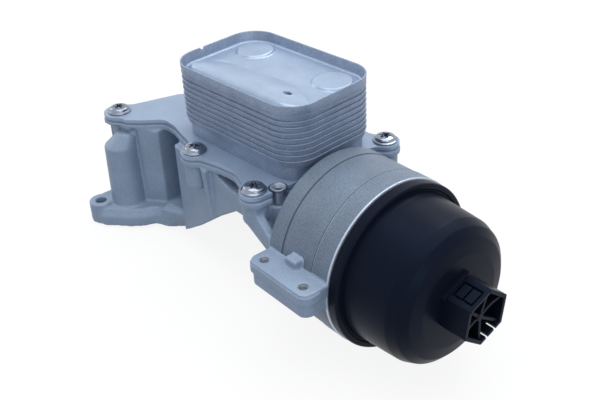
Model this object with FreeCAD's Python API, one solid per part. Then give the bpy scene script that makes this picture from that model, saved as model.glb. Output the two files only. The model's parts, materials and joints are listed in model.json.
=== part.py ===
"""Oil filter housing of a small diesel engine: a die-cast housing with a horizontal filter bowl,
a plate oil cooler bolted on its deck, and a black screw cap with a hex drive.

Frame: origin on the mounting face, straight below the filter axis. +X runs along the filter axis
towards the cap, +Z is up from the mounting face to the cooler. All sizes are millimetres.
"""
import FreeCAD, Part
import math
import os

from FreeCAD import Placement, Rotation, Vector

# Heights above the mounting face
AXIS_HEIGHT = 35.0
DECK_HEIGHT = 63.8
FLANGE_THICK = 11.0
FLANGE_EDGE = 6.0
FLANGE_SLOPE = 2.6
FLANGE_BLEND = 5.0
FLANGE_CORNER = 3.0
DECK_RIM = 3.5

# Cooler's outline on the deck; its front edge keeps its place when the width changes
COOLER_LENGTH = 99.2
COOLER_WIDTH = 64.4
COOLER_FRONT = -27.2
COOLER_BACK = COOLER_FRONT + COOLER_WIDTH
COOLER_CENTRE = (72.3, (COOLER_FRONT + COOLER_BACK) / 2)
COOLER_TURN = 3.9
COOLER_CORNER = 16.6
BACK_MARGIN = 7.8
LEAST_BACK = 45.0
BODY_BACK = max(LEAST_BACK, COOLER_BACK + BACK_MARGIN)

# Cooler base plate and its gasket
GASKET_THICK = 1.2
BASE_THICK = 2.0
GASKET_INSET = 0.4
RIM_OUTSET = 0.4
PLATE_BLEND = 7.0
PLATE_CORNER = 4.0

# Cooler screws: places, boss and thread
SCREW_SPOTS = [
    (-20.4, -41.8), (53.0, -37.0), (109.5, -39.1),
    (118.6, BODY_BACK + 0.8), (17.0, BODY_BACK - 4.0), (66.0, BODY_BACK + 3.0),
]
SCREW_LOBE = 8.0
CORNER_LOBE = 9.4
SCREW_BOSS = 7.0
SCREW_BOSS_LENGTHS = [0.0, 16.0, 13.0, 20.0, 0.0, 20.0]
SCREW_BOSS_ROUND = 4.0
SCREW_CORE = 2.6
SCREW_SHANK = 2.5
SCREW_LENGTH = 16.0
SCREW_HOLE_DEPTH = 19.0
SCREW_FLANGE_RADIUS = 6.9
SCREW_FLANGE_THICK = 1.3
SCREW_HEAD_RADIUS = 5.3
SCREW_HEAD_HEIGHT = 3.6
STAR_RADIUS = 2.3
STAR_DEPTH = 2.2
PLATE_HOLE = 3.1

# Locating eyelet in a notch of the base plate
EYELET_SPOT = (116.0, -28.4)
EYELET_SHANK = 2.5
EYELET_BORE = 1.7
EYELET_RIM = 4.4
EYELET_FLARE = 1.6
EYELET_DEPTH = 9.0
EYELET_PRESS = 3.0
EYELET_STAND = 0.8
EYELET_NOTCH = 5.4

# Housing walls
CORNER_PILLAR = (-12.6, -48.4)
PILLAR_FOOT_RADIUS = 11.2
PILLAR_TOP_RADIUS = 9.8
PILLAR_DROP = 5.5
PILLAR_ROUND = 4.5
RECESS_LEFT = 7.5
RECESS_RIGHT = 27.5
RECESS_BACK = -14.0
RECESS_LEDGE = (12.0, 12.0, 11.0)
WALL_FRONT = -36.8
WALL_THICK = 5.0
SLOPE_START = 26.0
SLOPE_POINTS = [(36.0, 6.0), (50.0, 15.5), (70.0, 31.0)]
SLOPE_END = 88.0
SLOPE_HEIGHT = 43.0
WINDOW_LEFT = 67.0
WINDOW_RIGHT = 99.0
WINDOW_HEIGHT = 5.5
WINDOW_DEPTH = 17.0
RIB_LEFT = 62.0
RIB_WIDTH = 4.0
RIB_STAND = 4.2
RIB_LENGTH = 32.0
BODY_END = 124.0
POCKET_START = 52.0
POCKET_SPLIT = 82.0
POCKET_RIB = 3.0
POCKET_TOP = 46.5
FEED_DROP = 13.8

# Mounting flange, its bolts and ports
LUG_SPOT = (-21.0, -64.0)
LUG_RADIUS = 7.4
LUG_HEIGHT = 13.0
BOLT_SPOTS = [LUG_SPOT, (17.5, -27.5), (-14.0, 17.0), (34.0, LEAST_BACK + 9.0)]
BOLT_HOLE = 3.4
BOLT_SEAT = 8.0
PORT_RADIUS = 5.5
PORT_WALL = 4.0
GALLERY_RADIUS = 7.0
OIL_INLET = (4.0, 12.0)
OIL_OUTLET = (19.0, 0.0)
COOLANT_OUTLET = (15.0, 30.0)
COOLANT_INLET = (36.0, 34.0)
SEAL_WIDTH = 2.4
SEAL_DEPTH = 2.0
SEAL_STAND = 0.6

# Filter bowl
BOWL_START = 126.0
BOWL_FLOOR = 131.0
BOWL_MOUTH = 172.0
BOWL_RADIUS = 45.5
BAND_RADIUS = 45.9
MOUTH_RADIUS = 46.1
BAND_END = 137.0
MOUTH_START = 160.0
BOWL_BORE = 38.6
THREAD_BORE = 40.2
THREAD_START = 151.0
BOWL_BOTTOM_START = 118.0

# Side bracket with two tapped holes
BRACKET_LEFT = 128.0
BRACKET_RIGHT = 172.0
BRACKET_FRONT = -60.0
BRACKET_TOP = 44.0
BRACKET_THICK = 14.0
BRACKET_SPLIT = 6.0
BRACKET_STEP = 0.5
BRACKET_HOLES = [(134.5, -53.8), (164.5, -53.8)]
BRACKET_HOLE = 2.5
BRACKET_HOLE_DEPTH = 12.0
WEB_FOOT = 5.0
WEB_DROP = 4.0
WEB_THICK = 5.0
POST_LEFT = 144.6
POST_RIGHT = 153.0
POST_FRONT = -49.2
POST_HEIGHT = 5.0

# Cooler
TRAY_HEIGHT = 8.3
TRAY_INSET = 2.6
TRAY_WALL = 1.5
DISH_COUNT = 9
DISH_PITCH = 3.25
DISH_FLARE = 0.95
DISH_WALL = 0.85
DISH_SKIRT = 3.75
DISH_SHEET = 0.8
COVER_RIM = 6.2
PORT_SPOTS = [(-32.0, 17.0), (31.5, 16.0), (-32.0, -17.0), (31.5, -17.0)]
COOLER_PORT = 5.2
COLLAR_WALL = 1.2
BOSS_RADIUS = 10.4
BOSS_HEIGHT = 1.4
COVER_HOLE_SPOT = (23.5, -9.1)
COVER_HOLE = 2.1

# Cap
CAP_WALL = 3.0
CAP_FLANGE_RADIUS = 45.6
CAP_FLANGE_THICK = 6.2
CAP_SEAT_GAP = 0.3
CAP_NECK_RADIUS = 41.3
CAP_BODY_RADIUS = 39.7
CAP_FRONT = 213.0
CAP_SHOULDER = 11.0
CAP_CROWN = 1.6
SKIRT_END = 152.0
SKIRT_RADIUS = 38.6
SKIRT_WALL = 1.6
CLIP_COLLAR = 4.4
THREAD_DEPTH = 1.2
THREAD_LEAD = 4.0
RING_GROOVE_X = 167.0
RING_SECTION = 1.7
RING_GROOVE_DEPTH = 2.6
HEX_FLATS = 27.0
HEX_END = 231.5
HEX_WALL = 2.0
HEX_TURN = 21.6
HEX_RIB = 1.2
HEX_HUB = 1.8
HEX_RIB_DROP = 1.2
HEX_WINDOW_GAP = 3.0
HEX_SLITS = (-3.6, 2.4)
HEX_SLIT_WIDTH = 1.2
HEX_SLIT_LENGTH = 8.5
COLLAR_BAR = (3.0, 3.4, 19.0)
HEX_WINDOW_LENGTH = 13.0
HEX_WINDOW_WIDTH = 9.2

# Filter element
PAPER_RADIUS = 31.5
PAPER_VALLEY = 21.9
PAPER_TUBE_GAP = 0.3
PLEATS = 36
PLEAT_SHIFT = 4.2
END_CAP_RADIUS = 32.0
END_CAP_THICK = 2.2
END_CAP_LIP = 3.0
ELEMENT_CLEAR = 2.0
CLIP_RADIUS = 23.4
CLIP_WALL = 1.5
CLIP_GAP = 0.3
CLIP_FINGERS = 8
CLIP_SLOT = 4.0
TUBE_RADIUS = 17.0
TUBE_WALL = 1.4
TUBE_SLOTS = 8
TUBE_ROWS = 4
SEAL_BORE_CLEAR = 0.1

# Standpipe and bypass valve
PIPE_RADIUS = 11.0
PIPE_WALL = 1.6
PIPE_SOCKET = 9.0
PIPE_SLOTS = 4
PIPE_STAND = 2.0
VALVE_SEAT_BORE = 5.0
VALVE_SEAT_THICK = 2.0
POPPET_RADIUS = 6.6
POPPET_THICK = 1.6
POPPET_GUIDE = 1.9
POPPET_STEM = 14.0
VALVE_LIFT = 4.0
SPRING_RADIUS = 4.6
SPRING_WIRE = 0.45
SPRING_TURNS = 5
VALVE_BRIDGE = 2.4

# Worked-out places
PLATE_BOTTOM = DECK_HEIGHT + GASKET_THICK
PLATE_TOP = PLATE_BOTTOM + BASE_THICK
DISH_START = PLATE_TOP + TRAY_HEIGHT
COVER_LEVEL = DISH_START + DISH_COUNT * DISH_PITCH
CAP_BACK = BOWL_MOUTH + CAP_SEAT_GAP
CAP_FLANGE_FRONT = CAP_BACK + CAP_FLANGE_THICK
CAP_INSIDE = CAP_FRONT - CAP_WALL
HEX_RADIUS = HEX_FLATS / math.sqrt(3.0)
ELEMENT_BACK = BOWL_FLOOR + ELEMENT_CLEAR
ELEMENT_FRONT = CAP_INSIDE - ELEMENT_CLEAR - END_CAP_LIP
PIPE_TIP = ELEMENT_FRONT + PIPE_STAND

PLATE_OUTLINE = [
    (-24.6, -38.5), (-17.5, -47.0), (-7.0, -45.6), (1.0, -38.0), (8.5, -28.6), (20.0, -28.8),
    (30.0, -31.2), (42.0, -33.4), (56.0, -41.0), (75.7, -36.0), (86.7, -34.8), (97.0, -38.4),
    (117.4, -38.5), (118.4, -21.0), (118.4, BODY_BACK - 17.0), (120.5, BODY_BACK - 1.0),
    (104.0, BODY_BACK + 0.6), (15.0, BODY_BACK - 2.0),
    (-14.4, -3.4),
]
BODY_OUTLINE = [
    (-26.0, -37.0), (-14.0, -46.0), (-2.0, -41.0), (RECESS_LEFT, -33.5), (RECESS_LEFT, RECESS_BACK),
    (RECESS_RIGHT, RECESS_BACK), (RECESS_RIGHT, -34.6), (29.5, -35.9), (46.0, WALL_FRONT), (104.0, WALL_FRONT),
    (116.0, -34.0), (BODY_END, -20.0), (BODY_END, 30.0), (116.0, BODY_BACK - 3.0), (104.0, BODY_BACK - 1.5),
    (66.0, BODY_BACK), (13.0, BODY_BACK - 2.0), (-12.5, -3.0),
]
FLANGE_OUTLINE = [
    (-26.0, -36.0), (-27.0, -60.0), (-13.0, -69.0), (-5.0, -61.9), (1.0, -56.9), (6.0, -50.5),
    (8.5, -44.0), (16.5, -40.7), (24.0, -32.6), (27.5, -14.0), (30.5, 1.0), (40.0, 14.0),
    (49.0, 24.0), (49.0, 43.0), (34.0, 50.0), (20.0, 46.0), (0.0, 28.0), (-14.0, 8.0),
]


def polygon_face(points, z=0.0):
    """Flat face inside a closed outline at height z."""
    corners = [Vector(x, y, z) for x, y in points]
    return Part.Face(Part.makePolygon(corners + corners[:1]))


def disc_face(spot, radius):
    """Flat round face on the plane z = 0."""
    circle = Part.Circle(Vector(spot[0], spot[1], 0), Vector(0, 0, 1), radius)
    return Part.Face(Part.Wire(circle.toShape()))


def upright(spot, radius, low, high):
    """Vertical cylinder between two heights."""
    return Part.makeCylinder(radius, high - low, Vector(spot[0], spot[1], low))


def lobed_face(points, lobes, blend, corner, grow=0.0):
    """Outline fused with round lobes; inner corners get radius blend, outer ones radius corner."""
    block = polygon_face(points).extrude(Vector(0, 0, 1))
    block = block.fuse([upright((x, y), radius, 0, 1) for x, y, radius in lobes]).removeSplitter()
    base = [face for face in block.Faces if face.BoundBox.ZMax < 0.5][0]
    closed = Part.Face(base.OuterWire).makeOffset2D(blend + grow)
    opened = closed.makeOffset2D(-blend - corner)
    return Part.Face(opened.makeOffset2D(corner).OuterWire)


def raise_face(face, low, high):
    """Prism of a z = 0 face between two heights."""
    solid = face.extrude(Vector(0, 0, high - low))
    solid.translate(Vector(0, 0, low))
    return solid


def slot_prism(start, end, radius, low, high):
    """Straight gallery with round ends between two spots."""
    dx, dy = end[0] - start[0], end[1] - start[1]
    length = math.hypot(dx, dy)
    bar = Part.makeBox(length, 2 * radius, high - low, Vector(0, -radius, 0))
    bar.rotate(Vector(0, 0, 0), Vector(0, 0, 1), math.degrees(math.atan2(dy, dx)))
    bar.translate(Vector(start[0], start[1], low))
    return bar.fuse([upright(start, radius, low, high), upright(end, radius, low, high)])


def turned(points, axis_y=0.0, axis_z=None):
    """Solid of revolution about a line along X. points are (x, radius) round a closed profile."""
    height = AXIS_HEIGHT if axis_z is None else axis_z
    corners = [Vector(x, axis_y, height + r) for x, r in points]
    face = Part.Face(Part.makePolygon(corners + corners[:1]))
    return face.revolve(Vector(0, axis_y, height), Vector(1, 0, 0), 360)


def round_edges(solid, radius, wanted):
    """Fillet the edges that a test picks out."""
    return solid.makeFillet(radius, [e for e in solid.Edges if wanted(e)])


def is_upright(edge):
    """True for a straight vertical edge."""
    return edge.Curve.TypeId == "Part::GeomLine" and abs(edge.tangentAt(edge.FirstParameter).z) > 0.999


def cooler_place(shape):
    """Move a shape from the cooler's own axes to its turned place on the deck."""
    shape.Placement = Placement(
        Vector(COOLER_CENTRE[0], COOLER_CENTRE[1], 0), Rotation(Vector(0, 0, 1), COOLER_TURN)
    ).multiply(shape.Placement)
    return shape


def cooler_spot(spot):
    """A cooler-axes spot in the part's frame."""
    turn = math.radians(COOLER_TURN)
    x = COOLER_CENTRE[0] + spot[0] * math.cos(turn) - spot[1] * math.sin(turn)
    y = COOLER_CENTRE[1] + spot[0] * math.sin(turn) + spot[1] * math.cos(turn)
    return (x, y)


def plate_lobes():
    """A lobe round each cooler screw, larger at the corner pillar."""
    radii = [CORNER_LOBE] + [SCREW_LOBE] * (len(SCREW_SPOTS) - 1)
    return [(x, y, radius) for (x, y), radius in zip(SCREW_SPOTS, radii)]


def deck_face(grow):
    """Outline shared by the base plate, its gasket and the casting's deck."""
    face = lobed_face(PLATE_OUTLINE, plate_lobes(), PLATE_BLEND, PLATE_CORNER, grow)
    return face.cut(disc_face(EYELET_SPOT, EYELET_NOTCH))


def casting_body():
    """Walls below the deck, with the corner pillar, screw bosses and the sloping underside."""
    top = DECK_HEIGHT - DECK_RIM
    body = raise_face(polygon_face(BODY_OUTLINE), 0, top)
    under = [(SLOPE_START, -1), (SLOPE_START + 1.5, 0.6), *SLOPE_POINTS, (SLOPE_END, SLOPE_HEIGHT),
             (BODY_END + 9, SLOPE_HEIGHT), (BODY_END + 9, -1)]
    body = body.cut(side_prism(under, -2 * BODY_BACK, 4 * BODY_BACK))
    body = body.cut(underside_pockets())
    pillar_top = DECK_HEIGHT - PILLAR_DROP
    pillar = Part.makeCone(PILLAR_FOOT_RADIUS, PILLAR_TOP_RADIUS, pillar_top, Vector(*CORNER_PILLAR, 0))
    parts = [round_edges(pillar, PILLAR_ROUND, lambda e: e.BoundBox.ZMin > pillar_top - 1)]
    for spot, length in zip(SCREW_SPOTS, SCREW_BOSS_LENGTHS):
        low = top - length if length else 0.0
        boss = upright(spot, SCREW_BOSS, low, top)
        if length:
            boss = round_edges(boss, SCREW_BOSS_ROUND, lambda e: e.BoundBox.ZMax < low + 1)
        parts.append(boss)
    return body.fuse(parts + [wall_rib(), recess_ledge(), feed_tube()])


def side_prism(points, front, depth):
    """Prism whose outline is given as (x, z), from y = front towards +Y."""
    corners = [Vector(x, front, z) for x, z in points]
    return Part.Face(Part.makePolygon(corners + corners[:1])).extrude(Vector(0, depth, 0))


def end_prism(points, start, length):
    """Prism whose outline is given as (y, z), from x = start towards +X."""
    corners = [Vector(start, y, z) for y, z in points]
    return Part.Face(Part.makePolygon(corners + corners[:1])).extrude(Vector(length, 0, 0))


def wall_rib():
    """Tapered rib on the front wall, beside the second screw boss."""
    top = DECK_HEIGHT - DECK_RIM
    return end_prism([(WALL_FRONT + 1, top), (WALL_FRONT - RIB_STAND, top), (WALL_FRONT - 1.0, top - RIB_LENGTH),
                      (WALL_FRONT + 1, top - RIB_LENGTH)], RIB_LEFT, RIB_WIDTH)


def recess_ledge():
    """Sloped roof of the bolt recess, under the deck."""
    top = DECK_HEIGHT - DECK_RIM
    left, reach, drop = RECESS_LEDGE
    return end_prism([(RECESS_BACK + 1, top), (RECESS_BACK - reach, top), (RECESS_BACK + 1, top - drop)],
                     left, RECESS_RIGHT + 1 - left)


def feed_tube():
    """Round wall of the oil feed from the cooler's outlet to the bowl."""
    x, y = cooler_spot(PORT_SPOTS[3])
    radius = COOLER_PORT + PORT_WALL
    start = x - radius
    return Part.makeCylinder(radius, BOWL_START + 1 - start, Vector(start, y, DECK_HEIGHT - FEED_DROP), Vector(1, 0, 0))


def underside_pockets():
    """Two cored pockets behind the sloping underside, one each side of a rib."""
    inner = polygon_face(BODY_OUTLINE).makeOffset2D(-WALL_THICK)
    block = raise_face(inner, -1, POCKET_TOP)
    depth = 4 * BODY_BACK
    first = Part.makeBox(POCKET_SPLIT - POCKET_RIB / 2 - POCKET_START, depth, POCKET_TOP + 2,
                         Vector(POCKET_START, -depth / 2, -1))
    second = Part.makeBox(BODY_END, depth, POCKET_TOP + 2, Vector(POCKET_SPLIT + POCKET_RIB / 2, -depth / 2, -1))
    return block.common(first.fuse(second))


def front_web():
    """Web from the third screw boss down to the bracket."""
    top = DECK_HEIGHT - DECK_RIM
    x, y = SCREW_SPOTS[2]
    low = BRACKET_TOP - WEB_FOOT
    outline = [(x - 4, top), (x - 4, top - SCREW_BOSS_LENGTHS[2] + 1), (BOWL_START - 3, low),
               (BRACKET_LEFT + 2, low), (BRACKET_LEFT + 2, BRACKET_TOP), (x + SCREW_BOSS, top - WEB_DROP),
               (x + SCREW_BOSS, top)]
    return side_prism(outline, y - WEB_THICK, WEB_THICK)


def mounting_flange():
    """Scalloped flange on the engine with its foot lug."""
    lobes = [(x, y, BOLT_SEAT) for x, y in BOLT_SPOTS[1:]] + [(*LUG_SPOT, LUG_RADIUS)]
    outline = lobed_face(FLANGE_OUTLINE, lobes, FLANGE_BLEND, FLANGE_CORNER)
    plate = raise_face(outline, 0, FLANGE_EDGE)
    low, high = outline.OuterWire, Part.Face(outline.makeOffset2D(-FLANGE_SLOPE).OuterWire).OuterWire
    low.translate(Vector(0, 0, FLANGE_EDGE))
    high.translate(Vector(0, 0, FLANGE_THICK))
    plate = plate.fuse(Part.makeLoft([low, high], True, True))
    lug = upright(LUG_SPOT, LUG_RADIUS, 0, LUG_HEIGHT)
    ramp = Part.makeBox(2 * LUG_RADIUS - 2, 14.0, LUG_HEIGHT, Vector(LUG_SPOT[0] - LUG_RADIUS + 1, LUG_SPOT[1], 0))
    seats = [upright(spot, BOLT_SEAT, 0, FLANGE_THICK + 1.5) for spot in BOLT_SPOTS[1:]]
    return plate.fuse([lug, ramp] + seats)


def bowl_outside():
    """Outer form of the filter bowl with its band and mouth collar."""
    profile = [
        (BOWL_START, 0), (BOWL_START, BAND_RADIUS - 1.5), (BOWL_START + 1.5, BAND_RADIUS),
        (BAND_END - 0.4, BAND_RADIUS), (BAND_END, BOWL_RADIUS), (MOUTH_START - 0.6, BOWL_RADIUS),
        (MOUTH_START, MOUTH_RADIUS), (BOWL_MOUTH, MOUTH_RADIUS), (BOWL_MOUTH, 0),
    ]
    back = [(BOWL_BOTTOM_START, 0), (BOWL_BOTTOM_START, BOWL_RADIUS - 12), (BOWL_START, BOWL_RADIUS - 3), (BOWL_START, 0)]
    tail = turned(back).common(
        Part.makeBox(60, 120, DECK_HEIGHT - DECK_RIM + 60, Vector(BOWL_START - 30, -60, -60)))
    start, radius = OIL_OUTLET[0] - PORT_RADIUS - PORT_WALL, GALLERY_RADIUS + PORT_WALL
    tube = turned([(start, 0), (start, radius), (BOWL_START + 1, radius), (BOWL_START + 1, 0)])
    return turned(profile).fuse([tail, tube])


def bowl_inside():
    """Hollow of the bowl: filter chamber, thread bore and lead-in."""
    return turned([
        (BOWL_FLOOR, 0), (BOWL_FLOOR, BOWL_BORE - 3), (BOWL_FLOOR + 3, BOWL_BORE),
        (THREAD_START - 4, BOWL_BORE), (THREAD_START, THREAD_BORE), (BOWL_MOUTH - 1, THREAD_BORE),
        (BOWL_MOUTH + 1, THREAD_BORE + 2), (BOWL_MOUTH + 1, 0),
    ])


def bracket():
    """Side bracket: two-step block with rounded front corners, and the square post on it."""
    low = BRACKET_TOP - BRACKET_THICK
    split = BRACKET_TOP - BRACKET_SPLIT

    def block(inset, z0, z1, corner):
        box = Part.makeBox(BRACKET_RIGHT - BRACKET_LEFT - 2 * inset, -BRACKET_FRONT - inset - 34.0, z1 - z0,
                           Vector(BRACKET_LEFT + inset, BRACKET_FRONT + inset, z0))
        return round_edges(box, corner, lambda e: is_upright(e) and e.BoundBox.YMax < BRACKET_FRONT + inset + 1)

    upper = block(0.0, split, BRACKET_TOP, 5.0)
    lower = block(BRACKET_STEP, low, split, 5.0)
    post = Part.makeBox(POST_RIGHT - POST_LEFT, 14.0, POST_HEIGHT + 1.0, Vector(POST_LEFT, POST_FRONT, BRACKET_TOP - 1))
    post = round_edges(post, 0.9, lambda e: is_upright(e) or e.BoundBox.ZMin > BRACKET_TOP + POST_HEIGHT - 0.1)
    return upper.fuse([lower, post])


def casting_cuts():
    """Bores, galleries, seal grooves and the window below the deck."""
    cuts = [bowl_inside()]
    gallery_floor = DECK_HEIGHT - 12.0
    ports = [cooler_spot(s) for s in PORT_SPOTS]
    for spot in (OIL_INLET, COOLANT_OUTLET, COOLANT_INLET):
        cuts.append(upright(spot, PORT_RADIUS, -1, DECK_HEIGHT + 1))
    cuts.append(upright(OIL_OUTLET, PORT_RADIUS, -1, AXIS_HEIGHT))
    run = BOWL_FLOOR + 1 - OIL_OUTLET[0]
    cuts.append(Part.makeCylinder(GALLERY_RADIUS, run, Vector(OIL_OUTLET[0], 0, AXIS_HEIGHT), Vector(1, 0, 0)))
    socket = BOWL_FLOOR - PIPE_SOCKET
    cuts.append(Part.makeCylinder(PIPE_RADIUS, PIPE_SOCKET + 1, Vector(socket, 0, AXIS_HEIGHT), Vector(1, 0, 0)))
    for start, port in ((OIL_INLET, ports[2]), (COOLANT_OUTLET, ports[0]), (COOLANT_INLET, ports[1])):
        cuts.append(slot_prism(start, port, COOLER_PORT, gallery_floor, DECK_HEIGHT + 1))
    x, y = ports[3]
    feed = DECK_HEIGHT - FEED_DROP
    cuts.append(upright((x, y), COOLER_PORT, feed, DECK_HEIGHT + 1))
    cuts.append(Part.makeCylinder(COOLER_PORT, BOWL_FLOOR + 1 - x, Vector(x, y, feed), Vector(1, 0, 0)))
    for x, y in SCREW_SPOTS:
        cuts.append(upright((x, y), SCREW_CORE, DECK_HEIGHT - SCREW_HOLE_DEPTH, DECK_HEIGHT + 1))
    for spot in BOLT_SPOTS:
        cuts.append(upright(spot, BOLT_HOLE, -1, LUG_HEIGHT + 1))
    for spot in BRACKET_HOLES:
        cuts.append(upright(spot, BRACKET_HOLE, BRACKET_TOP - BRACKET_HOLE_DEPTH, BRACKET_TOP + 1))
    for spot in (OIL_INLET, OIL_OUTLET, COOLANT_OUTLET, COOLANT_INLET):
        cuts.append(seal_ring(spot, SEAL_WIDTH, -1, SEAL_DEPTH, 0))
    top = DECK_HEIGHT - DECK_RIM
    opening = [(WINDOW_LEFT, top), (WINDOW_RIGHT, top), (WINDOW_RIGHT, top - WINDOW_HEIGHT),
               (WINDOW_RIGHT - WINDOW_DEPTH, top - WINDOW_HEIGHT)]
    cuts.append(side_prism(opening, WALL_FRONT - 1, WINDOW_DEPTH + 1))
    eyelet_seat = PLATE_TOP - EYELET_DEPTH
    cuts.append(upright(EYELET_SPOT, EYELET_SHANK, eyelet_seat - EYELET_PRESS, eyelet_seat + 1))
    cuts.append(upright(EYELET_SPOT, EYELET_NOTCH, eyelet_seat, DECK_HEIGHT))
    return cuts


def seal_ring(spot, width, low, high, clear):
    """Flat ring round a port, between two heights."""
    inner = PORT_RADIUS + 1.2 + clear
    return upright(spot, inner + width - 2 * clear, low, high).cut(upright(spot, inner, low, high))


def housing_casting():
    """The whole die casting."""
    deck = raise_face(deck_face(RIM_OUTSET), DECK_HEIGHT - DECK_RIM, DECK_HEIGHT)
    columns = [upright(s, PORT_RADIUS + PORT_WALL, 0, DECK_HEIGHT - DECK_RIM) for s in (COOLANT_OUTLET, COOLANT_INLET)]
    whole = casting_body().fuse([mounting_flange(), deck, bowl_outside(), bracket(), front_web()] + columns)
    pillar = upright(EYELET_SPOT, 5.0, BRACKET_TOP, PLATE_TOP - EYELET_DEPTH)
    whole = whole.fuse(pillar)
    for cut in casting_cuts():
        whole = whole.cut(cut)
    return whole.removeSplitter()


def cooler_base_plate():
    """Sheet plate under the cooler, with screw holes and ports."""
    plate = raise_face(deck_face(0.0), PLATE_BOTTOM, PLATE_TOP)
    for spot in SCREW_SPOTS:
        plate = plate.cut(upright(spot, PLATE_HOLE, PLATE_BOTTOM - 1, PLATE_TOP + 1))
    for spot in PORT_SPOTS:
        plate = plate.cut(upright(cooler_spot(spot), COOLER_PORT, PLATE_BOTTOM - 1, PLATE_TOP + 1))
    return plate


def cooler_gasket():
    """Thin gasket between the plate and the deck, open over the galleries."""
    sheet = raise_face(deck_face(-GASKET_INSET), DECK_HEIGHT, PLATE_BOTTOM)
    for spot in SCREW_SPOTS:
        sheet = sheet.cut(upright(spot, PLATE_HOLE + 0.3, DECK_HEIGHT - 1, PLATE_BOTTOM + 1))
    for spot in PORT_SPOTS:
        sheet = sheet.cut(upright(cooler_spot(spot), COOLER_PORT + 1, DECK_HEIGHT - 1, PLATE_BOTTOM + 1))
    return sheet


def rounded_wire(inset, z):
    """Cooler outline, shrunk by inset, at height z, in the cooler's own axes."""
    length, width = COOLER_LENGTH / 2 - inset, COOLER_WIDTH / 2 - inset
    radius = COOLER_CORNER - inset
    edges = []
    for quarter, (sx, sy) in enumerate(((1, 1), (-1, 1), (-1, -1), (1, -1))):
        centre = Vector(sx * (length - radius), sy * (width - radius), z)
        start = math.radians(90 * quarter)
        circle = Part.Circle(centre, Vector(0, 0, 1), radius)
        edges.append(Part.Arc(circle, start, start + math.pi / 2).toShape())
    joined = []
    for i, arc in enumerate(edges):
        follower = edges[(i + 1) % 4]
        joined += [arc, Part.LineSegment(arc.Vertexes[-1].Point, follower.Vertexes[0].Point).toShape()]
    return Part.Wire(joined)


def frustum(low_inset, high_inset, low, high):
    """Solid between two rounded outlines."""
    return Part.makeLoft([rounded_wire(low_inset, low), rounded_wire(high_inset, high)], True, True)


def port_collars(shape, low, high, spots):
    """Fuse raised collars round ports."""
    for x, y in spots:
        shape = shape.fuse(upright((x, y), COOLER_PORT + COLLAR_WALL, low, high))
    return shape


def cooler_tray():
    """Narrow pan between the base plate and the first dish."""
    low, high = PLATE_TOP, DISH_START
    pan = frustum(TRAY_INSET, TRAY_INSET, low, high)
    hollow = frustum(TRAY_INSET + TRAY_WALL, TRAY_INSET + TRAY_WALL, low + TRAY_WALL, high - TRAY_WALL)
    pan = pan.cut(hollow)
    pan = port_collars(pan, low, high, PORT_SPOTS)
    for x, y in PORT_SPOTS:
        pan = pan.cut(upright((x, y), COOLER_PORT, low - 1, high + 1))
    return cooler_place(pan)


def dish_solid(level, skirt):
    """Nested stamping: flat sheet with a flared skirt standing round it."""
    rate = DISH_FLARE / DISH_PITCH
    outer = frustum(DISH_FLARE + 0.3, DISH_FLARE + 0.3 - rate * skirt, level, level + skirt)
    wall = DISH_WALL
    floor = level + DISH_SHEET
    inner = frustum(DISH_FLARE + 0.3 + wall - rate * DISH_SHEET, DISH_FLARE + 0.3 + wall - rate * (skirt + 1),
                    floor, level + skirt + 1)
    return outer.cut(inner)


def cooler_dish(index):
    """One nested dish of the stack, standing on the collars of the one below."""
    level = DISH_START + index * DISH_PITCH
    dish = dish_solid(level, DISH_SKIRT)
    dish = port_collars(dish, level + DISH_SHEET / 2, level + DISH_PITCH, PORT_SPOTS)
    for x, y in PORT_SPOTS:
        dish = dish.cut(upright((x, y), COOLER_PORT, level - 1, level + DISH_PITCH + 1))
    return cooler_place(dish)


def cooler_cover():
    """Top stamping: recessed cover with standing rim, port bosses and a small vent hole."""
    level = COVER_LEVEL
    rate = DISH_FLARE / DISH_PITCH
    flare_top = level + DISH_SKIRT - DISH_PITCH + 0.4
    lower = frustum(DISH_FLARE + 0.3, DISH_FLARE + 0.3 - rate * (flare_top - level), level, flare_top)
    upper = frustum(DISH_FLARE + 0.3 - rate * (flare_top - level), 0.0, flare_top, level + COVER_RIM)
    hollow = frustum(DISH_FLARE + 0.3 + DISH_WALL, DISH_WALL, level + DISH_SHEET, level + COVER_RIM + 0.001)
    cover = lower.fuse(upper).cut(hollow)
    for x, y in PORT_SPOTS[:2]:
        boss = upright((x, y), BOSS_RADIUS, level + DISH_SHEET - 0.1, level + DISH_SHEET + BOSS_HEIGHT)
        boss = round_edges(boss, BOSS_HEIGHT * 0.6, lambda e: e.BoundBox.ZMin > level + DISH_SHEET + BOSS_HEIGHT - 0.1)
        cover = cover.fuse(boss)
    x, y = COVER_HOLE_SPOT
    cover = cover.cut(upright((x, y), COVER_HOLE, level - 1, level + 4))
    return cooler_place(cover.removeSplitter())


def cooler_screws():
    """Six flanged pan-head screws as one group of separate solids."""
    screws = []
    for spot in SCREW_SPOTS:
        seat = PLATE_TOP
        flange = upright(spot, SCREW_FLANGE_RADIUS, seat, seat + SCREW_FLANGE_THICK)
        head = upright(spot, SCREW_HEAD_RADIUS, seat + SCREW_FLANGE_THICK, seat + SCREW_HEAD_HEIGHT)
        head = round_edges(head, 1.6, lambda e: e.BoundBox.ZMin > seat + SCREW_HEAD_HEIGHT - 0.1)
        shank = upright(spot, SCREW_SHANK, seat - SCREW_LENGTH, seat)
        star = star_prism(spot, seat + SCREW_HEAD_HEIGHT - STAR_DEPTH, seat + SCREW_HEAD_HEIGHT + 1)
        screws.append(flange.fuse([head, shank]).cut(star).removeSplitter())
    return Part.makeCompound(screws)


def star_prism(spot, low, high):
    """Six-lobed driver recess."""
    points = []
    for i in range(12):
        angle = math.radians(30 * i)
        radius = STAR_RADIUS if i % 2 == 0 else STAR_RADIUS * 0.68
        points.append((spot[0] + radius * math.cos(angle), spot[1] + radius * math.sin(angle)))
    return raise_face(polygon_face(points), low, high)


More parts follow.
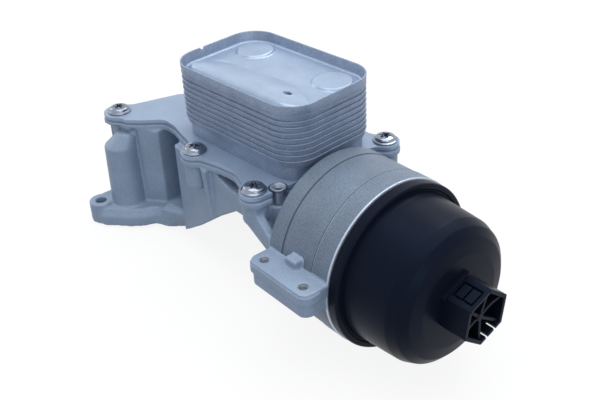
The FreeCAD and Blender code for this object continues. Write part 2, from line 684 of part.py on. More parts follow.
def locating_eyelet():
    """Flared hollow rivet that stands in the plate's notch."""
    x, y = EYELET_SPOT
    low, high = PLATE_TOP - EYELET_DEPTH - EYELET_PRESS, PLATE_TOP + EYELET_STAND
    shank = upright((x, y), EYELET_SHANK, low, high - EYELET_FLARE)
    flare = Part.makeCone(EYELET_SHANK, EYELET_RIM, EYELET_FLARE * 0.6, Vector(x, y, high - EYELET_FLARE))
    rim = upright((x, y), EYELET_RIM, high - EYELET_FLARE * 0.4, high)
    body = shank.fuse([flare, rim])
    funnel = Part.makeCone(EYELET_BORE, EYELET_RIM - 1.4, EYELET_FLARE * 0.8, Vector(x, y, high - EYELET_FLARE * 0.8))
    return body.cut(upright((x, y), EYELET_BORE, low - 1, high + 1)).cut(funnel).removeSplitter()


def mounting_seals():
    """Moulded rubber rings in the grooves round the four ports."""
    rings = [seal_ring(spot, SEAL_WIDTH, 0.15, SEAL_DEPTH, 0.2)
             for spot in (OIL_INLET, OIL_OUTLET, COOLANT_OUTLET, COOLANT_INLET)]
    return Part.makeCompound(rings)


def filter_cap():
    """Screw cap: threaded skirt, flange, domed body and the hollow hex drive."""
    shoulder_x, shoulder_r = CAP_FRONT - CAP_CROWN - CAP_SHOULDER, CAP_BODY_RADIUS - CAP_SHOULDER
    curve = [(shoulder_x + CAP_SHOULDER * math.sin(a), shoulder_r + CAP_SHOULDER * math.cos(a))
             for a in (math.radians(10 * i) for i in range(10))]
    inner_shoulder = CAP_SHOULDER - CAP_WALL
    inner_curve = [(shoulder_x + inner_shoulder * math.sin(a), shoulder_r + inner_shoulder * math.cos(a))
                   for a in (math.radians(15 * i) for i in range(7))]
    groove = RING_GROOVE_X
    half = RING_SECTION + 0.3
    outside = [
        (SKIRT_END, SKIRT_RADIUS - 1.0), (SKIRT_END + 1, SKIRT_RADIUS),
        (groove - half, SKIRT_RADIUS), (groove - half, SKIRT_RADIUS - RING_GROOVE_DEPTH),
        (groove + half, SKIRT_RADIUS - RING_GROOVE_DEPTH), (groove + half, SKIRT_RADIUS + 0.8),
        (CAP_BACK, SKIRT_RADIUS + 0.8), (CAP_BACK, CAP_FLANGE_RADIUS - 0.6),
        (CAP_BACK + 0.6, CAP_FLANGE_RADIUS), (CAP_FLANGE_FRONT - 1.2, CAP_FLANGE_RADIUS),
        (CAP_FLANGE_FRONT, CAP_FLANGE_RADIUS - 1.2), (CAP_FLANGE_FRONT, CAP_NECK_RADIUS + 1.6),
        (CAP_FLANGE_FRONT - 1.0, CAP_NECK_RADIUS + 1.1), (CAP_FLANGE_FRONT - 1.0, CAP_NECK_RADIUS + 0.4),
        (CAP_FLANGE_FRONT + 1.5, CAP_NECK_RADIUS), (CAP_FLANGE_FRONT + 10, CAP_BODY_RADIUS + 0.3),
    ]
    skirt_inside = SKIRT_RADIUS - RING_GROOVE_DEPTH - SKIRT_WALL
    neck_inside = CAP_NECK_RADIUS - CAP_WALL
    crown = [(CAP_FRONT, HEX_RADIUS + 2), (CAP_FRONT, 0), (CAP_INSIDE, 0)]
    inside = [(CAP_FLANGE_FRONT + 3, neck_inside), (CAP_FLANGE_FRONT - 2, skirt_inside), (SKIRT_END, skirt_inside)]
    body = turned(outside + curve + crown + inner_curve[::-1] + inside)
    collar = turned([(CAP_INSIDE - CLIP_COLLAR, CLIP_RADIUS), (CAP_INSIDE - CLIP_COLLAR, CLIP_RADIUS + CLIP_WALL),
                     (CAP_INSIDE + 0.5, CLIP_RADIUS + CLIP_WALL), (CAP_INSIDE + 0.5, CLIP_RADIUS)])
    ridges = [turned([(x, SKIRT_RADIUS - 0.5), (x, SKIRT_RADIUS), (x + 1.2, SKIRT_RADIUS + THREAD_DEPTH),
                      (x + 1.6, SKIRT_RADIUS + THREAD_DEPTH), (x + 2.8, SKIRT_RADIUS), (x + 2.8, SKIRT_RADIUS - 0.5)])
              for x in (SKIRT_END + 1.2, SKIRT_END + 1.2 + THREAD_LEAD)]
    return body.fuse(ridges + [collar, hex_drive()]).removeSplitter()


def hex_prism(radius, start, end):
    """Hexagonal bar along the filter axis."""
    corners = []
    for i in range(6):
        angle = math.radians(60 * i + HEX_TURN)
        corners.append(Vector(start, radius * math.cos(angle), AXIS_HEIGHT + radius * math.sin(angle)))
    return Part.Face(Part.makePolygon(corners + corners[:1])).extrude(Vector(end - start, 0, 0))


def hex_drive():
    """Hollow 27 mm hex with ribs that meet in a hub, a window in one flat and two slits in another."""
    root = CAP_FRONT - 2.0
    outer = hex_prism(HEX_RADIUS, root, HEX_END)
    inner = hex_prism(HEX_RADIUS - HEX_WALL / math.cos(math.radians(30)), CAP_FRONT, HEX_END + 1)
    shell = outer.cut(inner)
    ribs = []
    for i in range(6):
        rib = Part.makeBox(HEX_END - root - HEX_RIB_DROP, HEX_RADIUS - 1.0, HEX_RIB, Vector(root, 0, -HEX_RIB / 2))
        rib.rotate(Vector(0, 0, 0), Vector(1, 0, 0), 60 * i + HEX_TURN)
        rib.translate(Vector(0, 0, AXIS_HEIGHT))
        ribs.append(rib)
    hub = Part.makeCylinder(HEX_HUB, HEX_END - root - HEX_RIB_DROP, Vector(root, 0, AXIS_HEIGHT), Vector(1, 0, 0))
    inside = HEX_FLATS / 2 - HEX_WALL - 0.6
    bar_length, bar_stand, bar_width = COLLAR_BAR
    bar = on_flat(bar_length, bar_stand, bar_width, CAP_FRONT - 1.0, HEX_FLATS / 2 - bar_stand + 0.8, 90)
    shell = shell.fuse(ribs + [hub, bar])
    window = on_flat(HEX_WINDOW_LENGTH, 4.0, HEX_WINDOW_WIDTH, CAP_FRONT + HEX_WINDOW_GAP, inside, 90)
    shell = shell.cut(window)
    for side in HEX_SLITS:
        slit = on_flat(HEX_SLIT_LENGTH + 1, 4.0, HEX_SLIT_WIDTH, HEX_END - HEX_SLIT_LENGTH, inside, -90, side)
        shell = shell.cut(slit)
    return shell


def on_flat(length, thick, width, start, out, turn, side=0.0):
    """Block on one flat of the hex: start and length along the axis, out from it, side along the flat."""
    block = Part.makeBox(length, thick, width, Vector(start, out, side - width / 2))
    block.rotate(Vector(0, 0, 0), Vector(1, 0, 0), HEX_TURN + turn)
    block.translate(Vector(0, 0, AXIS_HEIGHT))
    return block


def cap_ring():
    """O-ring in the groove of the cap."""
    centre = SKIRT_RADIUS - RING_GROOVE_DEPTH + RING_SECTION + 0.15
    return Part.makeTorus(centre, RING_SECTION, Vector(RING_GROOVE_X, 0, AXIS_HEIGHT), Vector(1, 0, 0))


def filter_paper():
    """Pleated paper ring: a zigzag sheet between two star-shaped outlines."""
    back, front = ELEMENT_BACK + END_CAP_THICK, ELEMENT_FRONT - END_CAP_THICK
    stars = []
    for shift in (0.0, PLEAT_SHIFT):
        valley = max(PAPER_VALLEY - shift, TUBE_RADIUS + PAPER_TUBE_GAP)
        points = []
        for i in range(2 * PLEATS):
            angle = math.pi * i / PLEATS
            radius = PAPER_RADIUS - shift if i % 2 == 0 else valley
            points.append(Vector(back, radius * math.cos(angle), AXIS_HEIGHT + radius * math.sin(angle)))
        stars.append(Part.Face(Part.makePolygon(points + points[:1])).extrude(Vector(front - back, 0, 0)))
    return stars[0].cut(stars[1])


def element_tube():
    """Perforated centre tube of the element."""
    back, front = ELEMENT_BACK + END_CAP_THICK, ELEMENT_FRONT - END_CAP_THICK
    tube = turned([(back, TUBE_RADIUS - TUBE_WALL), (back, TUBE_RADIUS), (front, TUBE_RADIUS),
                   (front, TUBE_RADIUS - TUBE_WALL)])
    step = (front - back) / TUBE_ROWS
    for row in range(TUBE_ROWS):
        for i in range(TUBE_SLOTS // 2):
            bar = Part.makeBox(step * 0.6, 4 * TUBE_RADIUS, 5.0, Vector(back + step * (row + 0.2), -2 * TUBE_RADIUS, -2.5))
            bar.rotate(Vector(0, 0, 0), Vector(1, 0, 0), 360.0 * i / TUBE_SLOTS + 11)
            bar.translate(Vector(0, 0, AXIS_HEIGHT))
            tube = tube.cut(bar)
    return tube


def element_front_cap():
    """Element end cap at the cap side, with a rim that clips into the cap."""
    back, front = ELEMENT_FRONT - END_CAP_THICK, ELEMENT_FRONT
    bore, tip = PIPE_RADIUS + SEAL_BORE_CLEAR, CAP_INSIDE - CAP_CROWN - CLIP_GAP
    clip, hook = CLIP_RADIUS - CLIP_GAP, CLIP_RADIUS - CLIP_GAP - CLIP_WALL
    cap = turned([
        (back, bore), (back, END_CAP_RADIUS), (front, END_CAP_RADIUS), (front, clip),
        (tip, clip), (tip, hook), (front, hook), (front, bore),
    ])
    for i in range(CLIP_FINGERS):
        gap = Part.makeBox(ELEMENT_CLEAR + END_CAP_LIP + 1, CLIP_WALL + 4, CLIP_SLOT,
                           Vector(front, hook - 2, -CLIP_SLOT / 2))
        gap.rotate(Vector(0, 0, 0), Vector(1, 0, 0), 360.0 * i / CLIP_FINGERS)
        gap.translate(Vector(0, 0, AXIS_HEIGHT))
        cap = cap.cut(gap)
    return cap


def element_back_cap():
    """Element end cap at the bowl side, holding the seal."""
    back, front = ELEMENT_BACK, ELEMENT_BACK + END_CAP_THICK
    bore = PIPE_RADIUS + 2.4
    return turned([(back, bore), (back, END_CAP_RADIUS), (front, END_CAP_RADIUS), (front, bore)])


def element_seal():
    """Rubber seal ring between the element and the standpipe."""
    back, front = ELEMENT_BACK - 0.8, ELEMENT_BACK + END_CAP_THICK + 0.8
    outer = PIPE_RADIUS + 2.3
    return turned([
        (back, PIPE_RADIUS + SEAL_BORE_CLEAR), (back, outer + 1.2), (ELEMENT_BACK - 0.05, outer + 1.2),
        (ELEMENT_BACK - 0.05, outer), (front, outer), (front, PIPE_RADIUS + SEAL_BORE_CLEAR),
    ])


def standpipe():
    """Slotted pipe pressed into the bowl floor, closed by the valve bridge near its tip."""
    start = BOWL_FLOOR - PIPE_SOCKET + 0.1
    outer, inner = PIPE_RADIUS - 0.02, PIPE_RADIUS - PIPE_WALL
    pipe = turned([(start, inner), (start, outer), (PIPE_TIP, outer), (PIPE_TIP, inner)])
    for i in range(PIPE_SLOTS // 2):
        slot = Part.makeBox(26.0, 4 * PIPE_RADIUS, 6.0, Vector(BOWL_FLOOR + 10, -2 * PIPE_RADIUS, -3.0))
        slot.rotate(Vector(0, 0, 0), Vector(1, 0, 0), 180.0 * i / (PIPE_SLOTS // 2) + 45)
        slot.translate(Vector(0, 0, AXIS_HEIGHT))
        pipe = pipe.cut(slot)
    at = valve_bridge_x()
    bars = [Part.makeBox(VALVE_BRIDGE, 2 * inner + 1, 3.0, Vector(at, -inner - 0.5, AXIS_HEIGHT - 1.5)),
            Part.makeBox(VALVE_BRIDGE, 3.0, 2 * inner + 1, Vector(at, -1.5, AXIS_HEIGHT - inner - 0.5)),
            Part.makeCylinder(SPRING_RADIUS + 1.0, VALVE_BRIDGE, Vector(at, 0, AXIS_HEIGHT), Vector(1, 0, 0))]
    guide = Part.makeCylinder(POPPET_GUIDE + 0.15, VALVE_BRIDGE + 2, Vector(at - 1, 0, AXIS_HEIGHT), Vector(1, 0, 0))
    return pipe.fuse(bars).cut(guide)


def poppet_back_x():
    """Back face of the poppet disc when the valve is shut."""
    return PIPE_TIP - VALVE_SEAT_THICK - 0.1 - POPPET_THICK


def valve_bridge_x():
    """Back face of the bridge that carries the spring and guides the stem."""
    return poppet_back_x() - POPPET_STEM + 2.0


def bypass_seat():
    """Seat ring pressed into the tip of the standpipe."""
    outer = PIPE_RADIUS - PIPE_WALL - 0.02
    return turned([
        (PIPE_TIP - VALVE_SEAT_THICK, VALVE_SEAT_BORE), (PIPE_TIP - VALVE_SEAT_THICK, outer),
        (PIPE_TIP, outer), (PIPE_TIP, VALVE_SEAT_BORE + 1.0),
    ])


def bypass_poppet():
    """Disc with a guide stem, behind the seat."""
    back = poppet_back_x()
    disc = Part.makeCylinder(POPPET_RADIUS, POPPET_THICK, Vector(back, 0, AXIS_HEIGHT), Vector(1, 0, 0))
    nose = Part.makeCone(VALVE_SEAT_BORE - 0.4, 2.0, 2.0, Vector(back + POPPET_THICK, 0, AXIS_HEIGHT), Vector(1, 0, 0))
    stem = Part.makeCylinder(POPPET_GUIDE, POPPET_STEM, Vector(back - POPPET_STEM, 0, AXIS_HEIGHT), Vector(1, 0, 0))
    return disc.fuse([nose, stem]).removeSplitter()


def bypass_spring():
    """Coil spring between the bridge and the poppet."""
    start = valve_bridge_x() + VALVE_BRIDGE + SPRING_WIRE + 0.05
    end = poppet_back_x() - SPRING_WIRE - 0.05
    helix = Part.makeHelix((end - start) / SPRING_TURNS, end - start, SPRING_RADIUS - 1.0)
    circle = Part.Circle(Vector(SPRING_RADIUS - 1.0, 0, 0), Vector(0, 1, 0), SPRING_WIRE)
    coil = Part.Wire(helix).makePipeShell([Part.Wire(circle.toShape())], True, True)
    coil.rotate(Vector(0, 0, 0), Vector(0, 1, 0), 90)
    coil.translate(Vector(start, 0, AXIS_HEIGHT))
    return coil


def build():
    """Every node's solid by name."""
    nodes = {
        "housing_casting": housing_casting(),
        "cooler_base_plate": cooler_base_plate(),
        "cooler_gasket": cooler_gasket(),
        "cooler_tray": cooler_tray(),
        "cooler_cover": cooler_cover(),
        "cooler_screws": cooler_screws(),
        "locating_eyelet": locating_eyelet(),
        "mounting_seals": mounting_seals(),
        "filter_cap": filter_cap(),
        "cap_ring": cap_ring(),
        "filter_paper": filter_paper(),
        "element_tube": element_tube(),
        "element_front_cap": element_front_cap(),
        "element_back_cap": element_back_cap(),
        "element_seal": element_seal(),
        "standpipe": standpipe(),
        "bypass_seat": bypass_seat(),
        "bypass_poppet": bypass_poppet(),
        "bypass_spring": bypass_spring(),
    }
    for index in range(DISH_COUNT):
        nodes[f"cooler_dish_{index + 1:02d}"] = cooler_dish(index)
    return nodes


os.makedirs("parts", exist_ok=True)
for name, shape in build().items():
    shape.exportStep(f"parts/{name}.step")
    print(name, "solids", len(shape.Solids), "valid", shape.isValid(), "volume", round(shape.Volume, 1))
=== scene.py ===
"""Looks of the oil filter housing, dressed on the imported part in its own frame.

Lengths in this file are millimetres in the part's frame: +X along the filter axis towards the cap,
+Z up from the mounting face. add_mesh turns them into the scene's metres. The outline of a turned
piece lists points (along, out): the place along its axis and the radius there.
"""

import json
import logging
import math
from dataclasses import dataclass
from enum import Enum

import bmesh
import bpy
import numpy as np
from mathutils import Matrix, Vector

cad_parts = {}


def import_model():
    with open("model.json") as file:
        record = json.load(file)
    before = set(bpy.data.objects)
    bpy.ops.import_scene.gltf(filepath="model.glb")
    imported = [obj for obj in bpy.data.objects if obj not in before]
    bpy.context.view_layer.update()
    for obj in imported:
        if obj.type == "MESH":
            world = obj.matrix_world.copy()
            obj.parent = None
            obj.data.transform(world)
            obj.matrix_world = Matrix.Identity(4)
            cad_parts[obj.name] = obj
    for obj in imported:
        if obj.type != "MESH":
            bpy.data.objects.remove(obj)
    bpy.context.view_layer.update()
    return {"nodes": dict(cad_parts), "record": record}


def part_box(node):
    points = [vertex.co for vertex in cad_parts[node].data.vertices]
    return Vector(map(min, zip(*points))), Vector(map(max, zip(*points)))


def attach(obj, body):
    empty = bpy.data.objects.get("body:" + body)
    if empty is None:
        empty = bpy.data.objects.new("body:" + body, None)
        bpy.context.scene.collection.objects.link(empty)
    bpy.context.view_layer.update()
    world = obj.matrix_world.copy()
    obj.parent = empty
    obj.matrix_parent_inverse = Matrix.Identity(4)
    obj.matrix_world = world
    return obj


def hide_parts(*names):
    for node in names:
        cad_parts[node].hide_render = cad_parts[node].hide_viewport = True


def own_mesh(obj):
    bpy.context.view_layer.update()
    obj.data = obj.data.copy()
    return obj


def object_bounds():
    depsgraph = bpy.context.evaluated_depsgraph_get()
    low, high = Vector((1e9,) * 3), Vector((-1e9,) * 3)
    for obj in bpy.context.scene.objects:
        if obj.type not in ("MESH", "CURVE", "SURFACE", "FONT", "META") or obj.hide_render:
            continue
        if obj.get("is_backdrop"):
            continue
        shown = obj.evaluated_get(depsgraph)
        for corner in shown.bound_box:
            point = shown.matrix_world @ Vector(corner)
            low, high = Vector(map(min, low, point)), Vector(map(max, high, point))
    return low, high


Spot = tuple[float, float]
Triple = tuple[float, float, float]
Tone = tuple[int, int, int]
Grid = tuple[np.ndarray, np.ndarray]
Piece = bpy.types.Object
Socket = bpy.types.NodeSocket
Sockets = dict[str | int, object]

MM = 0.001
AXIS_HEIGHT = 35.0
FILTER_AXIS = (0.0, AXIS_HEIGHT)
WHITE = (1.0, 1.0, 1.0, 1.0)
BLACK = (0.0, 0.0, 0.0, 1.0)
LOG = logging.getLogger("housing_scene")


def linear(tone: Tone) -> tuple[float, ...]:
    """Screen colour to linear light: below the toe a straight share, above it a power of 2.4.

    Args:
        tone: red, green and blue from 0 to 255.

    Returns:
        Linear red, green, blue and an alpha of 1.
    """
    share = np.array(tone) / 255.0
    light = np.where(share <= 0.04045, share / 12.92, ((share + 0.055) / 1.055) ** 2.4)
    return (*light.tolist(), 1.0)


def smooth_step(value: np.ndarray) -> np.ndarray:
    """Rise from 0 to 1 as value goes from 0 to 1, by three squares less two cubes."""
    held = np.clip(value, 0.0, 1.0)
    return held * held * (3.0 - 2.0 * held)


def triangle_wave(turns: np.ndarray) -> np.ndarray:
    """Wave that is 1 at whole turns and 0 at half turns, and straight between them."""
    return np.abs((turns % 1.0) * 2.0 - 1.0)


def circle(count: int) -> np.ndarray:
    """Angles of equally spaced points round a full turn."""
    return np.linspace(0, 2 * np.pi, count, endpoint=False)


def heading(angle: float) -> np.ndarray:
    """Unit vector at an angle in radians."""
    return np.array([math.cos(angle), math.sin(angle)])


def unit(vectors: np.ndarray) -> np.ndarray:
    """Each vector over its own length."""
    return vectors / np.linalg.norm(vectors, axis=-1, keepdims=True)


def grid_quads(rows: int, cols: int, close_rows: bool = False) -> np.ndarray:
    """Corner numbers of the quads between neighbouring points of a grid whose rows are closed rings.

    Args:
        rows: number of rings.
        cols: number of points in a ring.
        close_rows: join the last ring to the first.

    Returns:
        An array of four corner numbers for each quad.
    """
    row = np.arange(rows if close_rows else rows - 1)[:, None]
    col = np.arange(cols)[None, :]
    next_row, next_col = (row + 1) % rows, (col + 1) % cols
    corners = [row * cols + col, row * cols + next_col, next_row * cols + next_col, next_row * cols + col]
    return np.stack(np.broadcast_arrays(*corners), axis=-1).reshape(-1, 4)


def enclosed_volume(points: np.ndarray, quads: np.ndarray) -> float:
    """Sum of the signed tetrahedra from the origin to both halves of each quad.

    Args:
        points: the grid's points.
        quads: its quads.

    Returns:
        The volume, negative where the quads face inwards.
    """
    a, b, c, d = (points[quads[:, i]] for i in range(4))
    halves = np.einsum("ij,ij->i", a, np.cross(b, c)) + np.einsum("ij,ij->i", a, np.cross(c, d))
    return float(halves.sum() / 6.0)


def add_mesh(name: str, parts: list[Grid], material: bpy.types.Material, sharp: float = 38.0,
             outward: bool = True) -> Piece:
    """Make one object from grids of points and their quads.

    Args:
        name: the piece's name.
        parts: for each grid, its points in millimetres and its quads.
        material: the piece's finish.
        sharp: angle in degrees above which an edge stays hard.
        outward: turn each closed grid so that it encloses a positive volume.

    Returns:
        The new object at the origin, with its place in its mesh.
    """
    all_points, all_quads, start = [], [], 0
    for points, quads in parts:
        if outward and enclosed_volume(points, quads) < 0:
            quads = quads[:, ::-1]
        all_points.append(points)
        all_quads.append(quads + start)
        start += len(points)
    co, faces = np.concatenate(all_points) * MM, np.concatenate(all_quads)
    mesh = bpy.data.meshes.new(name)
    mesh.vertices.add(len(co))
    mesh.vertices.foreach_set("co", co.astype(np.float32).ravel())
    mesh.loops.add(faces.size)
    mesh.loops.foreach_set("vertex_index", faces.astype(np.int32).ravel())
    mesh.polygons.add(len(faces))
    mesh.polygons.foreach_set("loop_start", (np.arange(len(faces)) * 4).astype(np.int32))
    mesh.update(calc_edges=True)
    merge_doubles(mesh)
    mesh.shade_smooth()
    mesh.set_sharp_from_angle(angle=math.radians(sharp))
    mesh.materials.append(material)
    return add_object(name, mesh)


def add_object(name: str, data: bpy.types.ID) -> Piece:
    """Put a new object with this mesh, lamp or camera into the scene.

    Args:
        name: the object's name.
        data: what it shows.

    Returns:
        The object.
    """
    made = bpy.data.objects.new(name, data)
    bpy.context.scene.collection.objects.link(made)
    return made


def merge_doubles(mesh: bpy.types.Mesh) -> None:
    """Join points that lie on one another, which also closes seams and poles.

    Args:
        mesh: the mesh that is changed.
    """
    work = bmesh.new()
    work.from_mesh(mesh)
    bmesh.ops.remove_doubles(work, verts=work.verts, dist=1e-7)
    bmesh.ops.dissolve_degenerate(work, edges=work.edges, dist=1e-8)
    work.to_mesh(mesh)
    work.free()


def add_modifier(piece: Piece, name: str, kind: str, **settings: object) -> None:
    """Give a piece a modifier.

    Args:
        piece: the object.
        name: the modifier's name.
        kind: its type.
        settings: its attributes.
    """
    made = piece.modifiers.new(name, kind)
    for key, value in settings.items():
        setattr(made, key, value)


def stacked(rings: list[np.ndarray]) -> Grid:
    """Solid through rings of equally many points, each end closed by a row drawn in to its middle.

    Args:
        rings: points (x, y, z) of each ring, in order.

    Returns:
        Points and quads.
    """
    count = len(rings[0])
    ends = [np.tile(ring.mean(axis=0), (count, 1)) for ring in (rings[0], rings[-1])]
    return np.concatenate([ends[0], *rings, ends[1]]), grid_quads(len(rings) + 2, count)


def rounded_profile(corners: list[Triple], step: float = 12.0) -> np.ndarray:
    """Open outline whose corners are arcs tangent to both their sides.

    A corner of radius r and turn t starts and ends r * tan(t / 2) before and after it.

    Args:
        corners: (along, out, radius) of each corner in order.
        step: largest angle in degrees between points of an arc.

    Returns:
        Points (along, out) of the outline.
    """
    spots, radii = np.array(corners, float)[:, :2], np.array(corners, float)[:, 2]
    out = [spots[:1]]
    for before, here, after, radius in zip(spots, spots[1:], spots[2:], radii[1:]):
        back, ahead = unit(before - here), unit(after - here)
        turn = math.pi - math.acos(float(np.clip(back @ ahead, -1, 1)))
        if radius <= 0 or turn < 1e-3:
            out.append(here[None])
            continue
        reach = radius * math.tan(turn / 2)
        middle = here + unit(back + ahead) * radius / math.cos(turn / 2)
        share = np.linspace(0, 1, max(2, math.ceil(math.degrees(turn) / step) + 1))[:, None]
        start, end = here + back * reach - middle, here + ahead * reach - middle
        swing = np.sin((1 - share) * turn) * start + np.sin(share * turn) * end
        out.append(middle + swing / math.sin(turn))
    return np.concatenate([*out, spots[-1:]])


class Axis(Enum):
    """Direction that a turned piece is turned about."""

    FILTER = 0
    UPRIGHT = 1


def placed(along: np.ndarray, out: np.ndarray, angle: np.ndarray, centre: Spot, axis: Axis) -> np.ndarray:
    """Cylinder coordinates to points: cosine and sine of the angle times the radius beside the axis.

    Args:
        along: places along the axis.
        out: radii.
        angle: angles in radians.
        centre: the axis's place: (y, z) for the filter axis, (x, y) for an upright one.
        axis: which way the axis runs.

    Returns:
        Points as rows of x, y, z.
    """
    first, second = centre[0] + out * np.cos(angle), centre[1] + out * np.sin(angle)
    order = (along, first, second) if axis is Axis.FILTER else (first, second, along)
    return np.stack(np.broadcast_arrays(*order), axis=-1).reshape(-1, 3)


def turned(profile: np.ndarray, centre: Spot = FILTER_AXIS, axis: Axis = Axis.FILTER, segments: int = 96,
           closed: bool = True) -> Grid:
    """Surface of revolution: each profile point goes round the axis at its own radius.

    Args:
        profile: points (along, out), round the section.
        centre: the axis's place, as placed takes it.
        axis: which way the axis runs.
        segments: points in a circle.
        closed: join the last profile point to the first.

    Returns:
        Points and quads.
    """
    points = placed(profile[:, :1], profile[:, 1:], circle(segments), centre, axis)
    return points, grid_quads(len(profile), segments, closed)


@dataclass
class Shading:
    """A node tree, with short ways to add nodes to it."""

    tree: bpy.types.NodeTree

    def set(self, node: bpy.types.Node, sockets: Sockets) -> None:
        """Set a node's inputs.

        Args:
            node: the node.
            sockets: for each input, its value or the output that is linked to it.
        """
        for key, value in sockets.items():
            if isinstance(value, Socket):
                self.tree.links.new(value, node.inputs[key])
            else:
                node.inputs[key].default_value = value

    def add(self, kind: str, sockets: Sockets, **settings: object) -> bpy.types.Node:
        """Add a shader node; its settings come first, because some of them choose its inputs.

        Args:
            kind: the node's type without its leading ShaderNode.
            sockets: its inputs, as set takes them.
            settings: its attributes.

        Returns:
            The node.
        """
        node = self.tree.nodes.new("ShaderNode" + kind)
        for key, value in settings.items():
            setattr(node, key, value)
        self.set(node, sockets)
        return node

    def noise(self, size: float, detail: float) -> Socket:
        """Noise on Object coordinates.

        Args:
            size: width of its features in millimetres.
            detail: number of finer layers in it.

        Returns:
            The noise, from 0 to 1.
        """
        where = self.add("TexCoord", {}).outputs["Object"]
        scale = 1.0 / (size * MM)
        return self.add("TexNoise", {"Vector": where, "Scale": scale, "Detail": detail}).outputs["Fac"]

    def darkening(self, size: float, detail: float, low: float, depth: float) -> Socket:
        """Factor that rises evenly as a noise goes from low to 1 less low.

        Args:
            size: the noise's width in millimetres.
            detail: its number of finer layers.
            low: noise at and under which the factor is least.
            depth: how far the least factor lies under 1.

        Returns:
            The factor.
        """
        return self.add("MapRange", {
            "Value": self.noise(size, detail), "From Min": low, "From Max": 1.0 - low,
            "To Min": 1.0 - depth, "To Max": 1.0}).outputs["Result"]

    def seen_directly(self) -> Socket:
        """The sum, clamped, of being a camera, a mirror and a glass ray.

        Returns:
            A socket that is 1 for these rays and 0 for the others.
        """
        path = self.add("LightPath", {}).outputs
        total = path["Is Camera Ray"]
        for kind in ("Is Glossy Ray", "Is Transmission Ray"):
            total = self.add("Math", {0: total, 1: path[kind]}, operation="ADD", use_clamp=True).outputs[0]
        return total


@dataclass(frozen=True)
class Finish:
    """A material: one tone, its gloss, and the small relief and patches over it.

    tone is the screen colour and sheen the tint of its reflections. patch and speck are how much
    broad patches and fine specks darken it, and patch_size and grain_size their widths. relief is
    the bump's height, with the specks' width. edge is the radius that edges have for the light.
    """

    name: str
    tone: Tone
    metallic: float = 0.0
    roughness: float = 0.5
    specular: float = 0.5
    sheen: Tone = (255, 255, 255)
    patch: float = 0.0
    patch_size: float = 18.0
    speck: float = 0.0
    grain_size: float = 0.6
    relief: float = 0.0
    edge: float = 0.0

    def material(self) -> bpy.types.Material:
        """Build the finish's node tree once.

        Returns:
            The material.
        """
        found = bpy.data.materials.get(self.name)
        if found:
            return found
        made = bpy.data.materials.new(self.name)
        made.use_nodes = True
        shading = Shading(made.node_tree)
        shading.set(made.node_tree.nodes["Principled BSDF"], {
            "Metallic": self.metallic, "Roughness": self.roughness, "Specular IOR Level": self.specular,
            "Specular Tint": linear(self.sheen), "Base Color": self._colour(shading),
            **self._normal(shading)})
        return made

    def _colour(self, shading: Shading) -> Socket | tuple[float, ...]:
        """The tone, times a broad and a fine share of noise where the finish has patches or specks.

        Args:
            shading: the material's tree.

        Returns:
            The plain colour, or the mixed one's socket.
        """
        tone = linear(self.tone)
        if not (self.patch or self.speck):
            return tone
        broad = shading.darkening(size=self.patch_size, detail=3.0, low=0.3, depth=self.patch)
        fine = shading.darkening(size=self.grain_size, detail=1.0, low=0.35, depth=self.speck)
        both = shading.add("Math", {0: broad, 1: fine}, operation="MULTIPLY").outputs[0]
        mix = {"A": BLACK, "B": tone, "Factor": both}
        return shading.add("Mix", mix, data_type="RGBA").outputs["Result"]

    def _normal(self, shading: Shading) -> Sockets:
        """Noise as a bump, over edges that a bevel sample rounds.

        Args:
            shading: the material's tree.

        Returns:
            What the shader's Normal takes, or nothing on a plain finish.
        """
        normal = {}
        if self.edge:
            rounding = shading.add("Bevel", {"Radius": self.edge * MM}, samples=6)
            normal = {"Normal": rounding.outputs["Normal"]}
        if self.relief:
            height = shading.noise(self.grain_size, detail=2.0)
            sockets = {"Strength": 1.0, "Distance": self.relief * MM, "Height": height, **normal}
            normal = {"Normal": shading.add("Bump", sockets).outputs["Normal"]}
        return normal


FINISHES = {
    "cast_aluminium": Finish("blasted_casting", (148, 166, 189), 0.12, 0.5, patch=0.14, speck=0.14,
                             grain_size=0.8, relief=0.07, edge=0.3),
    "sheet_aluminium": Finish("plate_aluminium", (154, 172, 196), 0.35, 0.42, patch=0.14, speck=0.08,
                              patch_size=22.0, relief=0.02, grain_size=0.5, edge=0.3),
    "brazed_aluminium": Finish("brazed_sheets", (152, 167, 191), 0.4, 0.46, patch=0.16, speck=0.2,
                               patch_size=7.0, relief=0.04, grain_size=0.9, edge=0.2),
    "cover_aluminium": Finish("cover_sheet", (166, 185, 209), 0.5, 0.38, patch=0.16, speck=0.06,
                              patch_size=14.0, relief=0.02, grain_size=0.8),
    "gasket": Finish("gasket_sheet", (130, 142, 162), 0.3, 0.6, relief=0.02),
    "seal_rubber": Finish("seal_rubber", (28, 29, 32), 0.0, 0.55),
    "screw_steel": Finish("plated_screw", (142, 150, 164), 1.0, 0.12),
    "eyelet_steel": Finish("plated_eyelet", (146, 156, 171), 0.5, 0.38),
    "spring_steel": Finish("spring_steel", (150, 154, 160), 1.0, 0.25),
    "black_plastic": Finish("cap_plastic", (17, 22, 34), 0.0, 0.35, specular=0.075, sheen=(165, 200, 255),
                            relief=0.012, grain_size=0.45),
    "element_plastic": Finish("element_plastic", (52, 56, 60), 0.0, 0.45, edge=0.2),
    "pipe_plastic": Finish("pipe_plastic", (38, 40, 44), 0.0, 0.45, edge=0.2),
    "filter_paper": Finish("filter_paper", (206, 178, 112), 0.0, 0.9, patch=0.1, relief=0.03),
}
MACHINED = Finish("machined_edge", (188, 199, 213), 0.6, 0.35)
THREAD = Finish("cut_thread", (150, 158, 168), 0.4, 0.35)
# Dark tone of the disc in the vent hole: painted shade for the hole's depth.
SHADE = Finish("bore_painted_shade", (34, 38, 46), 0.0, 0.8)
# Dark tone of the rings in the bowl's grooves: painted shade where the grooves' shadow falls.
GROOVE_SHADE = Finish("bowl_groove_painted_shade", (66, 76, 92), 0.0, 0.7)
